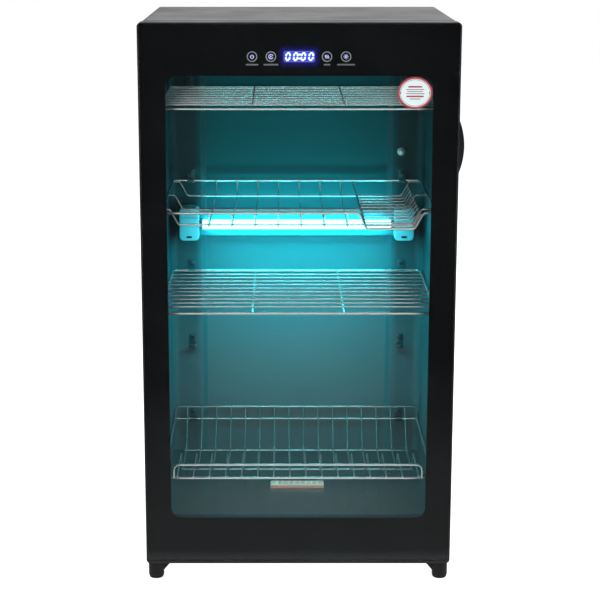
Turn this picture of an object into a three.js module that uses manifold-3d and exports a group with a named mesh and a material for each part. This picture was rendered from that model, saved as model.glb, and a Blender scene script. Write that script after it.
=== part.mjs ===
// Dish sterilizer cabinet with one hinged glass door, four wire racks, an ultraviolet tube on the
// back wall and a fan heater in the floor.
// Millimetres, +Z up, the door faces -Y. The origin is on the floor, below the middle of the cabinet.
// "Depth" is measured backwards from the front of the closed door.

import * as THREE from 'three';
import { mergeVertices } from 'three/addons/utils/BufferGeometryUtils.js';
import Module from 'manifold-3d';

const wasm = await Module();
wasm.setup();

// Overall size with the door closed
const doorWidth = 450;
const cabinetHeight = 823;
const cabinetDepth = 372;

// Clearances shared by all pieces
const fit = 0.3; // between pieces that touch
const cutOver = 2; // overrun of a cut past the face that it opens
const weld = 0.9; // how far welded wires sink into each other

// Sheet metal
const caseSheet = 1.2;
const linerSheet = 1;
const bracketSheet = 1.8;

// Door
const doorThick = 32;
const doorBottom = 27;
const doorCorner = 6;
const glassThick = 4;
const glassLip = 2;
const glassLipBottom = 4;
const maskThick = 0.6;
const windowMargin = 37.7;
const windowBottom = 96.6;
const windowDrop = 74; // from the top of the door to the window
const windowCorner = 17.5;
const openingEase = 4; // the frame's opening is larger than the window in the print
const openingDrop = 12.6;

// Door seal
const sealRoom = 5; // between the door's back and the front frame
const sealWidth = 9;
const sealFlange = 1.5;
const sealBulbWidth = 6.5;
const sealDartWidth = 2.4;
const sealDartDepth = 3.8;
const sealCorner = 8;

// Touch panel in the door's upper rail
const panelDrop = 47.2; // from the top of the door to the middle of the panel
const displayWidth = 43;
const displayHeight = 15;
const displayDepth = 3.5;
const boardWidth = 180;
const boardHeight = 36;
const boardThick = 1.6;
const boardPocketLedge = 5;
const boardPocketDepth = 9;

// Door hinges
const pivotInset = 10; // from the door's left edge
const pivotDepth = 16;
const pinRadius = 3.5;
const pinLength = 13.5;
const bushWall = 2;
const bushLength = 14;
const bushFlangeWidth = 2.5;
const hingeBoreClearance = 0.1;
const armDrop = 5.2; // top of the upper hinge arm below the top of the door
const armHalfWidth = 5;
const notchPlay = 0.8; // round the arm, in the door's notch
const bracketPlateWidth = 28;
const bracketPlateHeight = 14;
const bracketPlateOffset = 7; // from the pivot to the screwed plate

// Door handle and door magnet
const handleProud = 7.4;
const handleDrop = 136.2; // from the top of the door to the handle
const handleLength = 75;
const handleFront = 5;
const handleBack = 27;
const handleScoopRadius = 9;
const handleScoopReach = 4;
const tongueLength = 56;
const tongueThick = 7;
const tongueReach = 6;
const magnetLength = 20;
const magnetHeight = 8;
const magnetThick = 4.5;
const magnetEdge = 10; // from the door's right edge
const magnetTop = 10; // below the top of the door

// Case
const caseInset = 2; // the case is narrower than the door on each side
const caseCorner = 6;
const caseBottom = 25.6;
const inletProud = 1.5; // the cord inlet is the rearmost piece
const frameDeep = 12;
const wallRoom = 14.8; // between the case sheet and the liner
const frameCorner = 10;
const flangeHeight = 12;

// Liner
const floorHeight = 86;
const ceilingRoom = 33; // between the liner's ceiling and the top of the case
const linerBackRoom = 18.3; // between the liner's back and the rear cover
const linerCorner = 14;
const fieldMargin = 56; // from the liner's side to the raised field on its back
const fieldSlope = 8;
const fieldRise = 4;
const ledgeReach = 8.5;
const ledgeDrop = 11;
const ledgeFront = 62;
const ledgeLength = 24;

// Racks: rails that rest on the hooks, top shelf, bowl basket, middle shelf and the spare level
const levelShares = [0.8693, 0.6548, 0.4432, 0.2642]; // of the liner's height
const plateRise = 58; // from the liner's floor to the plate basket's rail
const rackClearance = 3; // between a rack and the liner's side
const rackFront = 48;
const rackBackRoom = 9; // from the back rail's centre to the liner's back
const railRadius = 2;
const barRadius = 1.5;
const wireRadius = 1.2;
const rackCorner = 9;
const wireSides = 5;
const pinSides = 8;
const bendSteps = 2;

// Flat shelves
const shelfWires = 11;
const shelfFirstWire = 32;
const shelfLastWire = 18;
const shelfBarSpread = 67;

// Bowl basket
const bowlDrop = 23; // from the rail to the floor
const bowlInset = 2; // narrower than the flat shelves on each side
const bowlWingFlat = 12;
const bowlWingRun = 12;
const bayWingFlat = 19; // the right wing, beside the cup bay
const bayWingRun = 13;
const bowlBarShares = [0.1084, 0.5251, 0.9553]; // bars from side to side, of the rack's depth
const bowlBend = 6;
const bowlWires = 7;
const bowlFirstWire = 46; // from the left end of the floor to the first wire
const cupBayWidth = 70;
const cupWires = 11;
const cupFirstWire = 14; // from the front rail
const cupLastWire = 25.2; // from the back rail
const cupRise = 18;
const dipRun = 10;
const fenceLean = 9;
const crestOverhang = 11; // of the bar under the bay's upper edge, past the first bar

// Plate basket
const plateUpperRise = 21; // from the lower rail to the upper one
const plateWires = 16;
const plateWireMargin = 21.2; // from the side rail to the outermost wire
const plateRailInset = 16; // ends of the upper front rail, from the side rail
const plateBackInset = 1;
const plateBendShares = [0.3625, 0.4709, 0.8198, 0.9688]; // bends of the wires, of the rack's depth
const plateWellDrop = 35; // from the lower rail to the well
const plateBarOverhang = 3;
const plateCorner = 6;
const plateShoulderRise = 11; // from the lower rail to the wires' last bend
const plateBend = 6;

// Rack hooks
const hookWidth = 12;
const hookSheet = 1.4;
const hookInset = 36; // from the liner's side
const hookLip = 4;
const hookReach = 13.7;
const hookTop = 19;
const hookScrewHeight = 13;
const hookScrewRadius = 4;
const hookScrewProud = 2;

// Ultraviolet tube
const lampShare = 0.5568; // of the liner's height
const lampTubeRadius = 8;
const lampStandOff = 27; // tube axis in front of the liner's back
const holderWidth = 32;
const holderInset = 17.6; // from the liner's side
const holderUp = 28; // from the tube's axis to the holder's top
const holderDown = 25.5;
const holderReach = 37;
const holderCorner = 7;
const socketDepth = 6;
const channelHeight = 40;
const channelDepth = 14;
const channelWall = 1.2;

// Temperature probe
const probeInset = 38;
const probeRise = 46; // above the bowl basket's rail
const probeRadius = 5;
const probeFlangeRadius = 6.5;
const probeFlange = 2;

// Feet
const footRadius = 11.5;
const footEdge = 3;
const frontFootInset = 13.3; // foot centre from the door's edge
const frontFootDepth = 17;
const rearFootInset = 30;
const rearFootRoom = 27; // from the foot's centre to the back
const gussetReach = 11;
const gussetDrop = 13;
const gussetThick = 4;
const footPlateFront = 5;
const footPlateBack = 95;
const footPlateWidth = 33;
const footPlateCorner = 6;

// Heater
const heaterWidth = 84;
const heaterDeep = 18;
const heaterFront = 165;
const heaterRise = 6.5;
const heaterBevel = 2;
const heaterWall = 2.5;
const heaterTop = 2.5;
const heaterSlots = 9;
const heaterBar = 2.4;
const heaterNotchRadius = 1.5;
const hoodTop = 2;
const hoodHeight = 14;
const coreHeight = 20;
const coreDrop = 2; // core below the housing's grille
const coreSlots = 12;
const coreFin = 1.6;

// Fan
const fanSize = 80;
const fanHeight = 25;
const fanBoreRadius = 38;
const fanFootHeight = 2.7;
const fanFootSize = 10;
const fanHubRadius = 15;
const fanBackThick = 3;
const fanStruts = 4;
const fanStrutWidth = 4;
const fanShaftRadius = 1.5;
const fanShaftLength = 15;
const rotorHeight = 17;
const rotorTipClearance = 1.5;
const bladeCount = 7;
const bladeThick = 1.8;
const bladeChord = 18;
const bladePitch = THREE.MathUtils.degToRad(42);

// Electrics in the base
const powerWidth = 110;
const powerDeep = 80;
const powerFront = 140;
const powerEdge = 25; // from the pan's right edge
const postRadius = 3;
const postHeight = 7;
const postInset = 6;
const transformerSize = [32, 28, 24];
const capacitorRadius = 7;
const capacitorHeight = 22;
const ballastWidth = 80;
const ballastDeep = 45;
const ballastHeight = 28;
const ballastFront = 150;
const ballastEdge = 25;
const ballastTab = 10;
const reedLength = 20;
const reedHeight = 8;
const reedDeep = 6;

// Air slots and the cord inlet
const ventCount = 18;
const ventPitch = 9;
const ventWidth = 3.5;
const ventLow = 36;
const ventHigh = 64;
const inletRadius = 9;
const inletNeckRadius = 6.5;
const inletBoreRadius = 4;
const inletNeckLength = 8;
const inletEdge = 52; // from the case's right side
const inletHeight = 50;
const intakeSlots = 8;
const intakePitch = 8.5;
const intakeWidth = 4;

// Roundness of the drawn arcs
const arcSteps = 2;
const roundSides = 16;

// Places worked out from the sizes above
const doorHalf = doorWidth / 2;
const caseHalf = doorHalf - caseInset;
const caseFront = doorThick + sealRoom;
const caseBack = cabinetDepth - inletProud;
const coverFront = caseBack - caseSheet;
const innerHalf = caseHalf - caseSheet - fit;
const innerTop = cabinetHeight - caseSheet - fit;
const panTop = caseBottom + caseSheet;
const frameBack = caseFront + frameDeep;
const linerFront = frameBack + fit;
const linerHalf = caseHalf - caseSheet - wallRoom;
const linerBack = caseBack - linerBackRoom;
const fieldHalf = linerHalf - fieldMargin;
const fieldDepth = linerBack - fieldRise;
const pivotX = pivotInset - doorHalf;
const railHalf = linerHalf - rackClearance - railRadius;
const rackBack = linerBack - rackBackRoom;
const bushRadius = pinRadius + hingeBoreClearance + bushWall;
const armTop = cabinetHeight - armDrop;
const armBottom = armTop - bracketSheet;
const maskFront = glassThick + fit;
const frameWebFront = maskFront + maskThick + fit;
const windowHalf = doorHalf - windowMargin;
const footTop = caseBottom - bracketSheet;
const fanDepth = heaterFront + heaterDeep / 2;
const windowTop = cabinetHeight - windowDrop;
const panelHeight = cabinetHeight - panelDrop;
const handleHigh = cabinetHeight - handleDrop;
const handleLow = handleHigh - handleLength;
const ceilingHeight = cabinetHeight - ceilingRoom;
const ofLiner = (share) => floorHeight + share * (ceilingHeight - floorHeight);
const ofRack = (share) => rackFront + share * (rackBack - rackFront);
const [shelfTopHeight, bowlRailHeight, shelfMiddleHeight, spareHeight] = levelShares.map(ofLiner);
const plateRailHeight = floorHeight + plateRise;
const lampHeight = ofLiner(lampShare);
const rearFootDepth = cabinetDepth - rearFootRoom;

// A place that lies this far behind the front of the closed door
const at = (depth) => depth - cabinetDepth / 2;

// Box between pairs of limits; the second pair is in depth
function block([left, right], [front, back], [low, high]) {
  const box = new THREE.BoxGeometry(right - left, back - front, high - low);
  return box.translate((left + right) / 2, at((front + back) / 2), (low + high) / 2);
}

const extruded = (shape, length) =>
  new THREE.ExtrudeGeometry(shape, { depth: length, bevelEnabled: false, curveSegments: arcSteps });

// Outline in X and Z, drawn out from one depth to another
function panelY(shape, front, back) {
  return extruded(shape, back - front).rotateX(Math.PI / 2).translate(0, at(back), 0);
}

// Outline in X and depth, drawn out from one height to another
function panelZ(shape, low, high) {
  return extruded(shape, high - low).translate(0, at(0), low);
}

// Outline in depth and Z, drawn out from one X to another
function panelX(shape, left, right) {
  const turn = new THREE.Matrix4().makeBasis(
    new THREE.Vector3(0, 1, 0), new THREE.Vector3(0, 0, 1), new THREE.Vector3(1, 0, 0));
  return extruded(shape, right - left).applyMatrix4(turn).translate(left, at(0), 0);
}

// Upright cylinder on a place in X and depth
function post(x, depth, radius, low, high, sides = roundSides) {
  const rod = new THREE.CylinderGeometry(radius, radius, high - low, sides);
  return rod.rotateX(Math.PI / 2).translate(x, at(depth), (low + high) / 2);
}

const outline = (points) => new THREE.Shape(points.map(([a, b]) => new THREE.Vector2(a, b)));

function roundedRect(left, right, low, high, radius, Kind = THREE.Shape) {
  const shape = new Kind();
  shape.moveTo(left + radius, low);
  shape.lineTo(right - radius, low);
  shape.absarc(right - radius, low + radius, radius, -Math.PI / 2, 0);
  shape.lineTo(right, high - radius);
  shape.absarc(right - radius, high - radius, radius, 0, Math.PI / 2);
  shape.lineTo(left + radius, high);
  shape.absarc(left + radius, high - radius, radius, Math.PI / 2, Math.PI);
  shape.lineTo(left, low + radius);
  shape.absarc(left + radius, low + radius, radius, Math.PI, Math.PI * 3 / 2);
  return shape;
}

// Frame-shaped outline between an outer limit and one that lies a width further in
function ringShape(half, low, high, width, corner) {
  const ring = roundedRect(-half, half, low, high, corner);
  ring.holes.push(roundedRect(width - half, half - width, low + width, high - width,
    Math.max(corner - width, corner / 4), THREE.Path));
  return ring;
}

// Joins and cuts between closed shapes
function solid(geometry) {
  const bare = geometry.clone();
  bare.deleteAttribute('normal');
  bare.deleteAttribute('uv');
  const merged = mergeVertices(bare);
  const vertProperties = merged.attributes.position.array;
  return new wasm.Manifold(new wasm.Mesh({ numProp: 3, vertProperties, triVerts: merged.index.array }));
}

function geometryOf(body) {
  const mesh = body.getMesh();
  const geometry = new THREE.BufferGeometry();
  geometry.setAttribute('position', new THREE.BufferAttribute(mesh.vertProperties, mesh.numProp));
  geometry.setIndex(new THREE.BufferAttribute(mesh.triVerts, 1));
  return geometry;
}

function join(...shapes) {
  return geometryOf(shapes.map(solid).reduce((whole, piece) => whole.add(piece)));
}

function cut(shape, ...tools) {
  return geometryOf(tools.map(solid).reduce((whole, tool) => whole.subtract(tool), solid(shape)));
}

// Bent wire: straight runs between corners, with an arc of one radius at each corner
class WirePath extends THREE.Curve {
  constructor(corners, bend) {
    super();
    this.stations = [];
    const run = (index) => corners[index + 1].clone().sub(corners[index]).normalize();
    this.stations.push([corners[0], run(0)]);
    for (let index = 1; index < corners.length - 1; index += 1) {
      this.addBend(corners[index], run(index - 1), run(index), bend);
    }
    this.stations.push([corners[corners.length - 1], run(corners.length - 2)]);
  }

  addBend(corner, into, out, bend) {
    const turn = into.angleTo(out);
    const hinge = new THREE.Vector3().crossVectors(into, out).normalize();
    const inward = out.clone().sub(into).normalize();
    const centre = corner.clone().addScaledVector(inward, bend / Math.cos(turn / 2));
    const start = corner.clone().addScaledVector(into, -bend * Math.tan(turn / 2)).sub(centre);
    for (let step = 0; step <= bendSteps; step += 1) {
      const angle = turn * step / bendSteps;
      this.stations.push([
        start.clone().applyAxisAngle(hinge, angle).add(centre),
        into.clone().applyAxisAngle(hinge, angle)]);
    }
  }

  get steps() {
    return this.stations.length - 1;
  }

  getPoint(t, target = new THREE.Vector3()) {
    return target.copy(this.stations[Math.round(t * this.steps)][0]);
  }

  getSpacedPoints() {
    return this.stations.map(([point]) => point.clone());
  }

  getTangentAt(t, target = new THREE.Vector3()) {
    return target.copy(this.stations[Math.round(t * this.steps)][1]);
  }
}

// Round wire along corners given as X, depth and height
function wire(corners, radius, bend = rackCorner) {
  const path = new WirePath(corners.map(([x, depth, z]) => new THREE.Vector3(x, at(depth), z)), bend);
  const rim = Array.from({ length: wireSides }, (_, index) => {
    const angle = Math.PI * 2 * (index + 1 / 2) / wireSides;
    return new THREE.Vector2(radius * Math.cos(angle), radius * Math.sin(angle));
  });
  return new THREE.ExtrudeGeometry(new THREE.Shape(rim), { steps: path.steps, extrudePath: path });
}

const finish = (color, roughness, metalness = 0) =>
  new THREE.MeshStandardMaterial({ color, roughness, metalness });

const materials = {
  caseBlack: finish(0x17181a, 0.35, 0.2),
  doorBlack: finish(0x141416, 0.4),
  glass: new THREE.MeshStandardMaterial({
    color: 0x2b3a40, roughness: 0.05, transparent: true, opacity: 0.35 }),
  print: finish(0x101012, 0.2),
  rubber: finish(0x2a2a2c, 0.8),
  nylon: finish(0xd8d6cc, 0.5),
  liner: finish(0x7f8a8e, 0.3, 0.8),
  chrome: finish(0xd5dadd, 0.12, 1),
  zinc: finish(0xa9adb0, 0.4, 0.9),
  lamp: new THREE.MeshStandardMaterial({ color: 0xd8fbff, roughness: 0.2, emissive: 0x35e0ff }),
  lampPlastic: finish(0xe4eaea, 0.4),
  display: new THREE.MeshStandardMaterial({ color: 0x10183a, roughness: 0.3, emissive: 0x1b3cff }),
  board: finish(0x1f5a35, 0.6),
  cream: finish(0xcfcfae, 0.6),
  fin: finish(0xb9bcbe, 0.4, 0.9),
  fanBlack: finish(0x1b1b1d, 0.6),
  magnet: finish(0x4a4a4d, 0.5, 0.6),
};

const bodies = {};
for (const name of ['cabinet', 'door', 'shelf_top', 'bowl_basket', 'shelf_middle', 'plate_basket', 'fan']) {
  bodies[name] = new THREE.Group();
}

function add(body, name, geometry, material) {
  geometry.computeVertexNormals();
  const mesh = new THREE.Mesh(geometry, material);
  mesh.name = name;
  bodies[body].add(mesh);
}

// Case

function wrapShape() {
  const inner = caseHalf - caseSheet;
  const roof = cabinetHeight - caseSheet;
  const bend = caseCorner - caseSheet;
  const shape = new THREE.Shape();
  shape.moveTo(-caseHalf, caseBottom);
  shape.lineTo(-caseHalf, cabinetHeight - caseCorner);
  shape.absarc(caseCorner - caseHalf, cabinetHeight - caseCorner, caseCorner, Math.PI, Math.PI / 2, true);
  shape.lineTo(caseHalf - caseCorner, cabinetHeight);
  shape.absarc(caseHalf - caseCorner, cabinetHeight - caseCorner, caseCorner, Math.PI / 2, 0, true);
  shape.lineTo(caseHalf, caseBottom);
  shape.lineTo(inner, caseBottom);
  shape.lineTo(inner, roof - bend);
  shape.absarc(inner - bend, roof - bend, bend, 0, Math.PI / 2);
  shape.lineTo(bend - inner, roof);
  shape.absarc(bend - inner, roof - bend, bend, Math.PI / 2, Math.PI);
  shape.lineTo(-inner, caseBottom);
  return shape;
}

// Plate with square lower corners and rounded upper ones
function coverShape(half, low, high, corner) {
  const shape = new THREE.Shape();
  shape.moveTo(-half, low);
  shape.lineTo(half, low);
  shape.lineTo(half, high - corner);
  shape.absarc(half - corner, high - corner, corner, 0, Math.PI / 2);
  shape.lineTo(corner - half, high);
  shape.absarc(corner - half, high - corner, corner, Math.PI / 2, Math.PI);
  return shape;
}

// Upright slot with pointed-round ends
function slotPath(x, half, low, high) {
  const points = [[x - half, low + half], [x, low], [x + half, low + half],
    [x + half, high - half], [x, high], [x - half, high - half]];
  return new THREE.Path(points.map(([a, b]) => new THREE.Vector2(a, b)));
}

function makeCase() {
  add('cabinet', 'outer_shell', panelY(wrapShape(), caseFront, coverFront), materials.caseBlack);

  const frame = coverShape(innerHalf, panTop + fit, innerTop, caseCorner - caseSheet);
  frame.holes.push(roundedRect(-linerHalf, linerHalf, floorHeight, ceilingHeight, frameCorner, THREE.Path));
  add('cabinet', 'front_frame', panelY(frame, caseFront, frameBack), materials.caseBlack);

  const cover = coverShape(caseHalf, caseBottom, cabinetHeight, caseCorner);
  for (let index = 0; index < ventCount; index += 1) {
    const x = (index - (ventCount - 1) / 2) * ventPitch;
    cover.holes.push(slotPath(x, ventWidth / 2, ventLow, ventHigh));
  }
  const holeRadius = inletNeckRadius + fit * 2;
  cover.holes.push(roundedRect(caseHalf - inletEdge - holeRadius, caseHalf - inletEdge + holeRadius,
    inletHeight - holeRadius, inletHeight + holeRadius, holeRadius, THREE.Path));
  add('cabinet', 'rear_cover', panelY(cover, coverFront, caseBack), materials.caseBlack);

  const inlet = new THREE.LatheGeometry([
    new THREE.Vector2(inletBoreRadius, -inletNeckLength),
    new THREE.Vector2(inletNeckRadius, -inletNeckLength),
    new THREE.Vector2(inletNeckRadius, 0),
    new THREE.Vector2(inletRadius, 0),
    new THREE.Vector2(inletRadius - inletProud / 2, inletProud),
    new THREE.Vector2(inletBoreRadius, inletProud),
    new THREE.Vector2(inletBoreRadius, -inletNeckLength)], roundSides);
  add('cabinet', 'cord_inlet', inlet.translate(caseHalf - inletEdge, at(caseBack), inletHeight),
    materials.rubber);
}

function makeBasePan() {
  const panFront = caseFront + fit;
  const panBack = coverFront - fit;
  const intake = [];
  for (let index = 0; index < intakeSlots; index += 1) {
    const offset = (index - (intakeSlots - 1) / 2) * intakePitch;
    const reach = Math.sqrt(fanBoreRadius ** 2 - offset ** 2);
    intake.push(block([-reach, reach],
      [fanDepth + offset - intakeWidth / 2, fanDepth + offset + intakeWidth / 2],
      [caseBottom - cutOver, panTop + cutOver]));
  }
  const flange = (side) => {
    const edges = [side * innerHalf, side * (innerHalf - caseSheet)].sort((a, b) => a - b);
    return block(edges, [frameBack + fit, panBack], [caseBottom, caseBottom + flangeHeight]);
  };
  const posts = powerPosts().map(([x, depth]) =>
    post(x, depth, postRadius, caseBottom + caseSheet / 2, panTop + postHeight, pinSides));
  const pan = join(block([-innerHalf, innerHalf], [panFront, panBack], [caseBottom, panTop]),
    flange(-1), flange(1), ...posts);
  add('cabinet', 'base_pan', cut(pan, ...intake), materials.zinc);
}

// Feet and the plates that carry the front ones forward under the door

function footProfile(height) {
  const points = [new THREE.Vector2(0, 0)];
  for (let step = 0; step <= arcSteps; step += 1) {
    const angle = Math.PI / 2 * step / arcSteps;
    points.push(new THREE.Vector2(
      footRadius - footEdge + footEdge * Math.sin(angle), footEdge - footEdge * Math.cos(angle)));
  }
  points.push(new THREE.Vector2(footRadius, height), new THREE.Vector2(0, height));
  return new THREE.LatheGeometry(points, roundSides).rotateX(Math.PI / 2);
}

function makeFoot(name, side, depth, inset, height, gusset) {
  const x = side * (doorHalf - inset);
  const foot = footProfile(height).translate(x, at(depth), 0);
  if (!gusset) {
    add('cabinet', name, foot, materials.rubber);
    return;
  }
  const edge = x - side * footRadius;
  const root = x - side * footRadius / 2;
  const web = outline([[root, height], [edge - side * gussetReach, height], [edge, height - gussetDrop],
    [root, height - gussetDrop]]);
  add('cabinet', name, join(foot, panelY(web, depth - gussetThick / 2, depth + gussetThick / 2)),
    materials.rubber);
}

function makeFootPlate(name, side, withPin) {
  const edges = [side * caseHalf, side * (caseHalf - footPlateWidth)].sort((a, b) => a - b);
  const plate = panelZ(
    roundedRect(...edges, footPlateFront, footPlateBack, footPlateCorner), footTop, caseBottom);
  if (!withPin) {
    add('cabinet', name, plate, materials.zinc);
    return;
  }
  const pin = post(pivotX, pivotDepth, pinRadius, footTop + bracketSheet / 2, caseBottom + pinLength);
  add('cabinet', name, join(plate, pin), materials.zinc);
}

function makeFeet() {
  makeFootPlate('hinge_plate_lower', -1, true);
  makeFootPlate('foot_plate_right', 1, false);
  makeFoot('foot_front_left', -1, frontFootDepth, frontFootInset, footTop, true);
  makeFoot('foot_front_right', 1, frontFootDepth, frontFootInset, footTop, true);
  makeFoot('foot_rear_left', -1, rearFootDepth, rearFootInset, caseBottom, false);
  makeFoot('foot_rear_right', 1, rearFootDepth, rearFootInset, caseBottom, false);
}

// Upper hinge: a plate on the front frame, an arm into the door's notch, a pin that points down
function makeUpperHinge() {
  const plateLeft = pivotX + bracketPlateOffset;
  const plateBack = caseFront - fit;
  const plateFront = plateBack - bracketSheet;
  const arm = new THREE.Shape();
  arm.moveTo(pivotX - armHalfWidth, plateBack);
  arm.lineTo(pivotX - armHalfWidth, pivotDepth);
  arm.absarc(pivotX, pivotDepth, armHalfWidth, Math.PI, Math.PI * 2);
  arm.lineTo(pivotX + armHalfWidth, plateFront);
  arm.lineTo(plateLeft + bracketPlateWidth, plateFront);
  arm.lineTo(plateLeft + bracketPlateWidth, plateBack);
  const plate = block([plateLeft, plateLeft + bracketPlateWidth], [plateFront, plateBack],
    [armTop - bracketPlateHeight, armTop]);
  const pin = post(pivotX, pivotDepth, pinRadius, armBottom - pinLength, armTop - bracketSheet / 2);
  add('cabinet', 'hinge_bracket_upper', join(panelZ(arm, armBottom, armTop), plate, pin), materials.zinc);
}

// Liner: one bent sheet for the sides and the back, with a raised field and pressed rack ledges

function linerSide(half, back, field, reach, bend) {
  // Half of the plan outline, from the front right to the middle of the back
  const points = [[half, linerFront]];
  for (let step = 0; step <= arcSteps; step += 1) {
    const angle = Math.PI / 2 * step / arcSteps;
    points.push([half - bend + bend * Math.cos(angle), back - bend + bend * Math.sin(angle)]);
  }
  points.push([reach + fieldSlope / 2, back], [reach - fieldSlope / 2, field]);
  return points;
}

function linerShape() {
  const mirrored = (points) => points.map(([x, depth]) => [-x, depth]);
  const inside = linerSide(linerHalf, linerBack, fieldDepth, fieldHalf, linerCorner);
  const outside = linerSide(linerHalf + linerSheet, linerBack + linerSheet, fieldDepth + linerSheet,
    fieldHalf, linerCorner + linerSheet);
  return outline([...outside, ...mirrored(outside).reverse(), ...mirrored(inside),
    ...inside.slice().reverse()]);
}

const rackSeat = (railHeight) => railHeight - railRadius - fit;

function ledge(side, railHeight) {
  const seat = rackSeat(railHeight);
  const root = side * (linerHalf + linerSheet / 2);
  const web = outline([[root, seat], [side * (linerHalf - ledgeReach), seat],
    [side * linerHalf, seat - ledgeDrop], [root, seat - ledgeDrop]]);
  return panelY(web, ledgeFront, ledgeFront + ledgeLength);
}

const levels = {
  shelf_top: shelfTopHeight,
  bowl_basket: bowlRailHeight,
  shelf_middle: shelfMiddleHeight,
  spare: spareHeight,
  plate_basket: plateRailHeight,
};

function makeLiner() {
  const ledges = Object.values(levels).flatMap((height) => [ledge(-1, height), ledge(1, height)]);
  const wrap = panelZ(linerShape(), floorHeight + fit, ceilingHeight);
  add('cabinet', 'liner_wrap', join(wrap, ...ledges), materials.liner);

  const half = linerHalf + linerSheet;
  const back = linerBack + linerSheet;
  add('cabinet', 'liner_ceiling', block([-half, half], [linerFront, back],
    [ceilingHeight + fit, ceilingHeight + fit + caseSheet]), materials.liner);

  const gap = heaterWidth / 2 + fit;
  const well = block([-gap, gap], [heaterFront - fit, heaterFront + heaterDeep + fit],
    [floorHeight - caseSheet - cutOver, floorHeight + cutOver]);
  const floor = block([-half, half], [linerFront, back], [floorHeight - caseSheet, floorHeight]);
  add('cabinet', 'liner_floor', cut(floor, well), materials.liner);
}

// Rack hooks on the liner's back

function hook(side, railHeight) {
  const seat = rackSeat(railHeight);
  const back = linerBack - fit;
  const lip = back - hookReach;
  const profile = outline([[back, seat - hookSheet], [back, seat + hookTop],
    [back - hookSheet, seat + hookTop], [back - hookSheet, seat], [lip + hookSheet, seat],
    [lip + hookSheet, seat + hookLip], [lip, seat + hookLip], [lip, seat - hookSheet]]);
  const x = side * (linerHalf - hookInset);
  const screw = new THREE.CylinderGeometry(hookScrewRadius, hookScrewRadius, hookScrewProud + hookSheet / 2,
    pinSides);
  screw.translate(x, at(back - hookSheet / 2 - screw.parameters.height / 2), seat + hookScrewHeight);
  return join(panelX(profile, x - hookWidth / 2, x + hookWidth / 2), screw);
}

function makeHooks() {
  for (const [level, height] of Object.entries(levels)) {
    add('cabinet', `hook_${level}_left`, hook(-1, height), materials.chrome);
    add('cabinet', `hook_${level}_right`, hook(1, height), materials.chrome);
  }
}

// Temperature probe: a domed cover on the liner's back
function makeProbe() {
  const profile = [new THREE.Vector2(0, 0), new THREE.Vector2(probeFlangeRadius, 0),
    new THREE.Vector2(probeFlangeRadius, probeFlange)];
  for (let step = 0; step <= arcSteps; step += 1) {
    const angle = Math.PI / 2 * step / arcSteps;
    profile.push(new THREE.Vector2(
      probeRadius * Math.cos(angle), probeFlange + probeRadius * Math.sin(angle)));
  }
  profile[profile.length - 1].x = 0;
  const dome = new THREE.LatheGeometry(profile, roundSides).rotateX(Math.PI);
  add('cabinet', 'temperature_probe',
    dome.translate(linerHalf - probeInset, at(linerBack - fit), bowlRailHeight + probeRise),
    materials.chrome);
}

// Ultraviolet tube between two end holders, in front of a folded channel

const holderInner = linerHalf - holderInset - holderWidth;

function makeLamp() {
  const tubeDepth = linerBack - lampStandOff;
  const socket = new THREE.CylinderGeometry(lampTubeRadius + fit, lampTubeRadius + fit,
    socketDepth + cutOver, roundSides).rotateZ(Math.PI / 2);
  for (const [name, side] of [['lamp_holder_left', -1], ['lamp_holder_right', 1]]) {
    const edges = [side * holderInner, side * (holderInner + holderWidth)].sort((a, b) => a - b);
    const housing = panelY(
      roundedRect(...edges, lampHeight - holderDown, lampHeight + holderUp, holderCorner),
      linerBack - holderReach, linerBack - fit);
    const bore = socket.clone().translate(side * (holderInner + (socketDepth - cutOver) / 2),
      at(tubeDepth), lampHeight);
    add('cabinet', name, cut(housing, bore), materials.lampPlastic);
  }

  const tubeLength = 2 * (holderInner + socketDepth - fit);
  const tube = new THREE.CylinderGeometry(lampTubeRadius, lampTubeRadius, tubeLength, roundSides);
  add('cabinet', 'uv_tube', tube.rotateZ(Math.PI / 2).translate(0, at(tubeDepth), lampHeight),
    materials.lamp);

  const low = lampHeight - channelHeight / 2;
  const high = lampHeight + channelHeight / 2;
  const back = fieldDepth - fit;
  const front = back - channelDepth;
  const section = outline([[front, low], [back, low], [back, low + channelWall],
    [front + channelWall, low + channelWall], [front + channelWall, high - channelWall],
    [back, high - channelWall], [back, high], [front, high]]);
  add('cabinet', 'lamp_channel', panelX(section, fit - holderInner, holderInner - fit), materials.liner);
}

// Flat shelf: a rail all round, two bars from front to back, wires from side to side

// Closed rail in two halves that run into each other
function railLoop(half, front, back, height, corner = rackCorner) {
  const middle = (front + back) / 2;
  const halfLoop = (end, reach) => wire([[-half, reach, height], [-half, end, height], [half, end, height],
    [half, reach, height]], railRadius, corner);
  return [halfLoop(front, middle + weld), halfLoop(back, middle - weld)];
}

function makeShelf(name, height) {
  const wireHeight = height + railRadius + wireRadius - weld;
  const barHeight = wireHeight - wireRadius - barRadius + weld;
  const pieces = railLoop(railHalf, rackFront, rackBack, height);
  for (const x of [-shelfBarSpread, shelfBarSpread]) {
    pieces.push(wire([[x, rackFront, barHeight], [x, rackBack, barHeight]], barRadius));
  }
  const span = rackBack - rackFront - shelfFirstWire - shelfLastWire;
  for (let index = 0; index < shelfWires; index += 1) {
    const depth = rackFront + shelfFirstWire + span * index / (shelfWires - 1);
    pieces.push(wire([[-railHalf, depth, wireHeight], [railHalf, depth, wireHeight]], wireRadius));
  }
  add(name, name, join(...pieces), materials.chrome);
}

// Bowl basket: sloping wings at both sides, a lowered floor, and a bay with close wires on the right

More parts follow.
